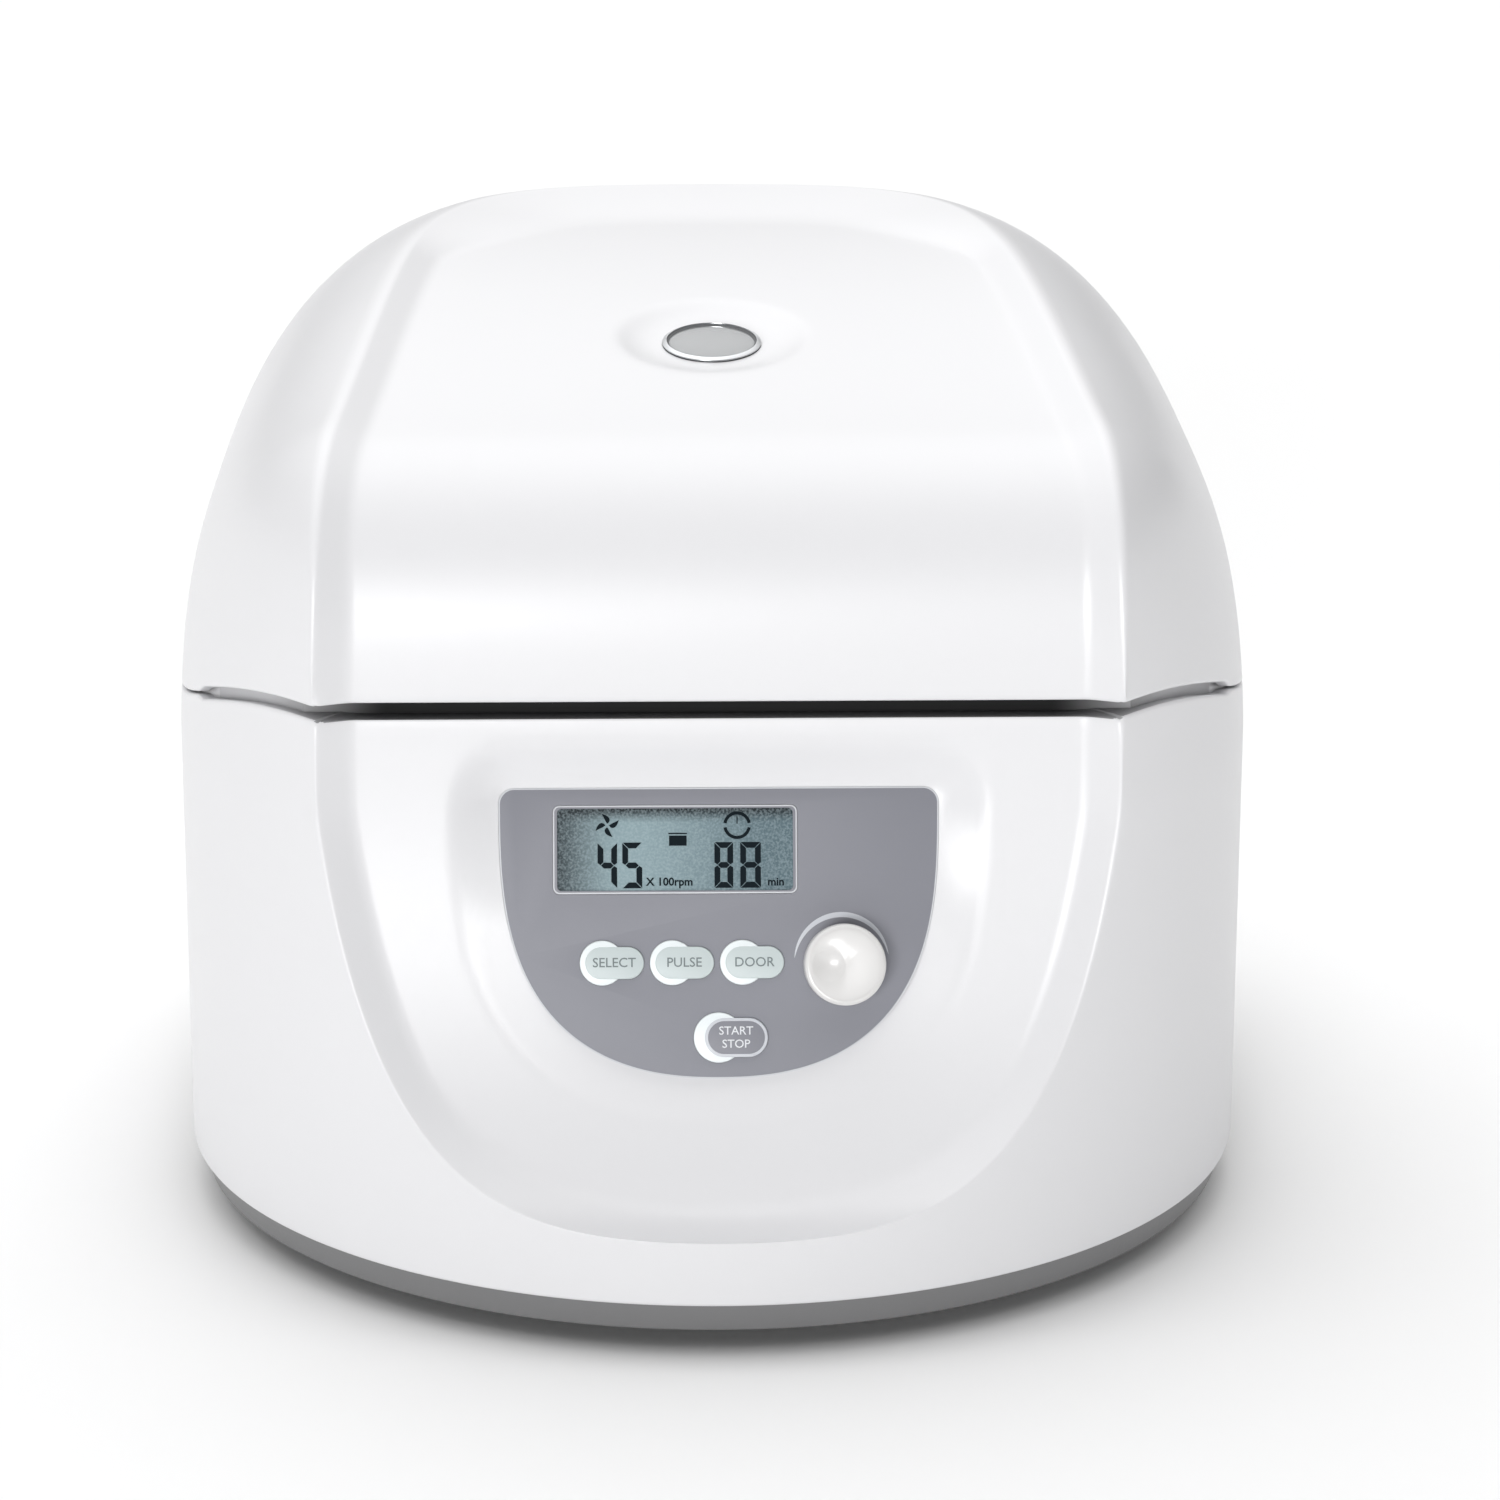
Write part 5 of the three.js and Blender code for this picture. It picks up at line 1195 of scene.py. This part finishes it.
def build_knob():
    place = PANEL @ Matrix.Translation((*KNOB_PLACE, 0))
    r, h = KNOB_RADIUS, KNOB_HEIGHT
    profile = [(0, KNOB_LOW), (r - SEAM, KNOB_LOW), (r, 2 * KNOB_LOW), (r, h), (0, h)]
    knob = lathe(rounded(profile, 1.3, 8), 128, place, "knob_fine", KNOB_WHITE)
    x, v, rise = DIMPLE_PLACE
    turns = np.linspace(0, math.pi, 60)
    sphere = [(DIMPLE_RADIUS * math.sin(t), h + rise - DIMPLE_RADIUS * math.cos(t)) for t in turns]
    line = [(r - 1.55, h - 0.12), (r - 1.25, h - 0.12), (r - 1.25, h + 1), (r - 1.55, h + 1)]
    cut(knob, lathe(sphere, 96, place @ Matrix.Translation((x, v, 0)), material=KNOB_WHITE),
        lathe(line, 128, place, material=KNOB_WHITE))
    dressed(knob, "knob", "speed_time_knob")
    thickness = 0.05 + 1.35 * np.sin(np.linspace(0, math.pi, 41)) ** 0.7
    crescent = arc_band((KNOB_PLACE[0] - 0.6, KNOB_PLACE[1] + 1.3), 12.6 - thickness, 12.6, 6, 178, 40)
    dressed(prisms("knob_arc", [crescent], -0.1, 0.06, KEY_RING), "root", angle=None)


# Window

def build_window():
    r, wide, flange = WINDOW_RADIUS, WINDOW_RADIUS + BEZEL_WIDTH, WINDOW_RADIUS + BEZEL_FLANGE
    rim = [(r + SEAM, -WALL), (wide, -WALL), (wide, 0.3), (flange, 0.3), (flange, 0.6), (r + SEAM, 1.3),
           (r + SEAM, -WALL)]
    dressed(lathe(rounded(rim, 0.3, 4), 128, WINDOW, "bezel_fine", CHROME), "lid", "window_bezel")
    dome = [(r * math.sin(t), 0.2 + 1.2 * math.cos(t)) for t in np.linspace(0, math.pi / 2, 14)]
    lens = lathe(dome + [(r, -1.2), (r - 0.4, -1.5), (0, -1.5)], 128, WINDOW, "lens_fine", LENS)
    dressed(lens, "lid", "window_lens")
    seal = [(r - 0.3, 0.2), (r + 0.35, 0.2), (r + 0.35, 0.75), (r - 0.3, 0.6), (r - 0.3, 0.2)]
    dressed(lathe(rounded(seal, 0.12, 2), 128, WINDOW, "lens_seal", GASKET), "lid", angle=40)
    inner, outer, low, top = SIGHT_RADIUS, SIGHT_RADIUS + 1.5, 163.8, WINDOW_ORIGIN[2] - 9.0
    tube = rounded([(inner, low), (outer, low), (outer, top), (inner, top), (inner, low)], 0.4, 3)
    sight = lathe(tube, 96, on_axis(0, WINDOW_Y), "sight_tube_fine", LINER_GREY)
    dressed(sight, "lid", "sight_tube")


# Chamber, rotor and liner

def build_chamber():
    r, c, low, thick = BOWL_RADIUS, BOWL_CORNER, BOWL_LOW, BOWL_WALL
    turns = np.linspace(0, math.pi / 2, 12)
    outer, inner = ([(r - c + size * math.sin(t), low + c - size * math.cos(t)) for t in turns]
                    for size in (c + thick, c))
    pan = [(BOOT_HOLE, low - thick)] + outer + inner[::-1] + [(BOOT_HOLE, low)]
    dressed(lathe(pan, 128, on_axis(), "bowl_fine", BOWL_STEEL), "root", "chamber_bowl")
    foot, deck = low + c + SEAM, DECK_HEIGHT + SEAM
    wall = [(r, foot), (r + thick, foot), (r + thick, deck), (r + BOWL_FLANGE, deck),
            (r + BOWL_FLANGE, deck + thick), (r, deck + thick)]
    wall = lathe(rounded(wall, 1.4, 5), 160, on_axis(), "chamber_wall_fine", BOWL_STEEL)
    dressed(wall, "root", "chamber_wall")
    base = deck + thick + SEAM
    top = base + GASKET_HEIGHT
    ring = rounded([(r + 1, base), (r + 6, base), (r + 5.4, top), (r + 1.6, top), (r + 1, base)], 1.2, 5)
    dressed(lathe(ring, 160, on_axis(), "gasket_fine", GASKET), "root", "chamber_gasket", 40)
    plate = inner_form(RIM_WIDTH + DECK_GAP, RIM_SETBACK + DECK_GAP, DECK_LOW, DECK_HEIGHT, 2)
    cut(plate, disc(r + thick + SEAM, 0, FAR, on_axis(), 160), block((-8.5, -86.5, 0), (8.5, -80.5, FAR)))
    bevel(plate, 0.5)
    dressed(plate, "root", "deck_plate")


def along_tube(length, side):
    """Radius and height of a point beside a tube, measured from its mouth."""
    return (MOUTH_CIRCLE + math.sin(TUBE_TILT) * length + math.cos(TUBE_TILT) * side,
            MOUTH_HEIGHT - math.cos(TUBE_TILT) * length + math.sin(TUBE_TILT) * side)


def tube_place(index):
    turn = Matrix.Rotation(index * 2 * math.pi / TUBE_COUNT, 4, "Z")
    tilt = Matrix.Rotation(-TUBE_TILT, 4, "Y")
    return on_axis() @ turn @ Matrix.Translation((MOUTH_CIRCLE, 0, MOUTH_HEIGHT)) @ tilt


def build_rotor():
    wall = BORE_WALL
    shape = [(HUB_RADIUS, 118), (17, 118), along_tube(30, -wall), along_tube(76, 2 - wall),
             along_tube(85, -4), along_tube(85, wall - 6), along_tube(76, wall), along_tube(6, wall),
             along_tube(-2, wall - 7), (21, 144), (17, 140), (HUB_RADIUS - 2, 140)]
    rotor = lathe(rounded(shape, 3.0, 5), 144, on_axis(), "rotor_fine", ALLOY)
    for k in range(TUBE_COUNT):
        cut(rotor, disc(BORE_RADIUS, -TUBE_LENGTH, OVERRUN, tube_place(k), 48, ALLOY))
    dressed(rotor, "rotor", "rotor_body")
    outer, end = BORE_RADIUS - SEAM, SEAM - TUBE_LENGTH
    cup = rounded([(0, end), (5.6, end), (outer, -75), (outer, 0), (outer - 0.9, 0), (outer - 0.9, -74.1),
                   (5, end + 1), (0, end + 1)], 0.4, 3)
    for k in range(TUBE_COUNT):
        sleeve = lathe(cup, 48, tube_place(k), "sleeve_fine_%d" % (k + 1), SLEEVE)
        dressed(sleeve, "rotor", "tube_sleeve_%d" % (k + 1), 40)
    low, bore = 141.3, 4.3
    nut = rounded([(bore, low), (11, low), (12, low + 2), (12, NUT_TOP), (0, NUT_TOP), (0, NUT_TOP - 1.3),
                   (bore, NUT_TOP - 1.3)], 1.5, 5)
    nut = lathe(nut, 96, on_axis(), "nut_fine", STEEL)
    for turn in around(FLUTE_COUNT):
        place = on_axis(FLUTE_CIRCLE * math.cos(turn), AXIS_Y + FLUTE_CIRCLE * math.sin(turn))
        cut(nut, disc(1.9, low + 3.2, FAR, place, 24))
    dressed(nut, "rotor", "rotor_nut")


def build_liner():
    inset = WALL + 2.0
    plate = inner_form(inset, SHIELD_DEPTH + inset, LINER_HEIGHT, LINER_HEIGHT + LINER_THICKNESS, 2)
    r, low, top = BOWL_RADIUS + BOWL_FLANGE / 2, SKIRT_LOW, LINER_HEIGHT + SEAM
    skirt = [(r - 2, low + 0.7), (r - 1.2, low), (r + 1.2, low), (r + 2, low + 0.7), (r + 2, top),
             (r - 2, top)]
    cut(plate, lathe(skirt, 160, on_axis()), operation="UNION")
    low, top = LINER_HEIGHT - 0.8, LINER_HEIGHT + 0.2
    for r in RIB_RADII:
        ring = [(r - 0.7, low), (r + 0.7, low), (r + 1, top), (r - 1, top)]
        cut(plate, lathe(ring, 128, on_axis()), operation="UNION")
    cut(plate, disc(SIGHT_RADIUS, 0, FAR, on_axis(0, WINDOW_Y)))
    plate.data.materials.clear()
    plate.data.materials.append(LINER_GREY)
    dressed(plate, "lid", "lid_liner")


# Base pan and feet

def build_base():
    inner, rebate = BASE_SLANT + WALL, BASE_HEIGHT - 0.45
    levels = [(BASE_SLANT + 0.5, 0.0), (BASE_SLANT, 0.35), (1.1, BASE_HEIGHT - 0.7), (1.4, rebate),
              (3.0, rebate), (3.2, BASE_HEIGHT), (inner - 0.3, BASE_HEIGHT), (inner, BASE_HEIGHT - 0.4),
              (inner, 2.5)]
    loops = []
    for inset, z in levels:
        plan = skin_point(around(180), BELT_HEIGHT, inset)[:, :2]
        loops.append(np.column_stack([plan, np.full(len(plan), z)]))
    tray = stack(loops, "base_fine", BASE_GREY)
    slots = [rounded_box(SLOT_SIZE, 1.7, 6, (SLOT_PITCH * k, AXIS_Y)) for k in range(-2, 3)]
    punch(tray, *slots, matrix=None)
    dressed(tray, "root", "base_tray")
    foot = rounded([(0, -5.2), (3, -5.2), (3.6, -6), (11, -6), (13, -SEAM), (0, -SEAM)], 0.7, 4)
    for k, (x, y) in enumerate(FOOT_PLACES, 1):
        pad = lathe(foot, 64, on_axis(x, y), "foot_fine_%d" % k, RUBBER)
        dressed(pad, "root", "foot_%d" % k)


# Plainer pieces keep the frame's own form, with rounded edges: node, body, material and rounding
PLAINER = [
    ("lid_hook", "lid", STEEL, 0.5),
    ("lock_body", "root", DARK, 0.5),
    ("latch_bolt", "bolt", STEEL, 0.4),
    ("hinge_bracket_left", "root", STEEL, 0.35),
    ("hinge_arm_left", "lid", STEEL, 0.35),
    ("hinge_bracket_right", "root", STEEL, 0.35),
    ("hinge_arm_right", "lid", STEEL, 0.35),
    ("power_inlet", "root", DARK, 0.4),
    ("fuse_drawer", "fuse", DARK, 0.5),
    ("switch_frame", "root", DARK, 0.4),
    ("power_rocker", "rocker", DARK, 0.5),
    ("vent_grille", "root", DARK, 0.35),
]


def soften(node, body, material, width):
    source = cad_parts[node]
    mesh = source.data.copy()
    mesh.name = node + "_fine"
    mesh.transform(source.matrix_world)
    mesh.materials.clear()
    mesh.materials.append(material)
    obj = add_object(node + "_fine", mesh)
    work = bmesh.new()
    work.from_mesh(mesh)
    bmesh.ops.remove_doubles(work, verts=work.verts, dist=1e-6)
    bmesh.ops.dissolve_limit(work, angle_limit=math.radians(2), verts=work.verts, edges=work.edges)
    work.to_mesh(mesh)
    work.free()
    dressed(bevel(obj, width, 35.0), body, node, angle=40)


# Pieces inside that keep the frame's own mesh
KEPT = [
    (DARK, ["display_module"]),
    (BOARD, ["control_board", "power_board"]),
    (ALLOY, ["motor_can"]),
    (RUBBER, ["damper_1", "damper_2", "damper_3", "shaft_boot"]),
    (STEEL, ["encoder_body", "knob_shaft", "motor_plate", "upper_bearing", "lower_bearing", "drive_shaft",
             "hinge_pin_left", "hinge_pin_right"]),
]


def finish_kept():
    for material, nodes in KEPT:
        for node in nodes:
            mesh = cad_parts[node].data
            mesh.materials.clear()
            mesh.materials.append(material)


build_housing()
build_lid()
build_overlay()
build_display()
build_keys()
build_knob()
build_window()
build_chamber()
build_rotor()
build_liner()
build_base()
for plainer in PLAINER:
    soften(*plainer)
finish_kept()


# Stage, light and camera

FLOOR_HALF = 7.0
SKY_LOW = 0.05
SKY_TOP = 2.4
SKY_POWER = 2.4
SKY_LEAN = math.radians(20)
SKY_LEFT = 0.08
SUN_SOURCE = (-0.24, -0.97, 0.04)
SUN_ANGLE = math.radians(26)
SUN_POWER = 2.35

# Camera, from a fit to the photograph
IMAGE_SIZE = 1500
FOCAL_PX = 4891.0
CENTRE_X_PX = 712.3
CENTRE_Y_PX = 707.0
CAMERA_PLACE = (-23.49, -1345.56, 515.89)
CAMERA_AIM = (0.0, 0.0, 130.0)


def build_floor():
    mesh = bpy.data.meshes.new("floor")
    corners = [(-1, -1), (1, -1), (1, 1), (-1, 1)]
    mesh.from_pydata([(x * FLOOR_HALF, y * FLOOR_HALF, 0) for x, y in corners], [], [[0, 1, 2, 3]])
    mesh.materials.append(Finish("floor_white", (247, 247, 247), 0.9, specular=0.0).material)
    add_object("floor", mesh)


def build_world():
    """A sky that is brightest above and a little in front, and plain white where the camera sees it."""
    world = bpy.data.worlds.new("studio")
    bpy.context.scene.world = world
    world.use_nodes = True
    tree = world.node_tree
    brightest = (-SKY_LEFT, math.sin(SKY_LEAN), math.cos(SKY_LEAN))
    where = add_node(tree, "TexCoord").outputs["Generated"]
    level = add_node(tree, "VectorMath", {0: where, 1: brightest}, operation="DOT_PRODUCT").outputs["Value"]
    for operation, numbers in (("MAXIMUM", {1: 0.0}), ("POWER", {1: SKY_POWER}),
                               ("MULTIPLY_ADD", {1: SKY_TOP - SKY_LOW, 2: SKY_LOW})):
        level = add_node(tree, "Math", {0: level, **numbers}, operation=operation).outputs[0]
    white = (1, 1, 1, 1)
    lighting = tree.nodes["Background"]
    lighting.inputs["Color"].default_value = white
    tree.links.new(level, lighting.inputs["Strength"])
    seen = add_node(tree, "Background", {"Color": white, "Strength": 1.0})
    by_camera = add_node(tree, "LightPath").outputs["Is Camera Ray"]
    mix = add_node(tree, "MixShader", {"Fac": by_camera, 1: lighting.outputs[0], 2: seen.outputs[0]})
    tree.links.new(mix.outputs[0], tree.nodes["World Output"].inputs["Surface"])


def aimed(obj, way):
    obj.rotation_euler = Vector(way).to_track_quat("-Z", "Y").to_euler()
    return obj


def build_sun():
    data = bpy.data.lights.new("key", "SUN")
    data.angle = SUN_ANGLE
    data.energy = SUN_POWER
    aimed(add_object("key", data), -Vector(SUN_SOURCE))


def build_camera():
    data = bpy.data.cameras.new("camera")
    data.sensor_width = 36.0
    data.sensor_fit = "HORIZONTAL"
    data.lens = data.sensor_width * FOCAL_PX / IMAGE_SIZE
    data.shift_x = 0.5 - CENTRE_X_PX / IMAGE_SIZE
    data.shift_y = CENTRE_Y_PX / IMAGE_SIZE - 0.5
    data.clip_end = 50
    place, aim = placed([CAMERA_PLACE, CAMERA_AIM])
    obj = aimed(add_object("camera", data), aim - place)
    obj.location = place
    bpy.context.scene.camera = obj


build_floor()
build_world()
build_sun()
build_camera()
bpy.context.scene.view_settings.view_transform = "Standard"
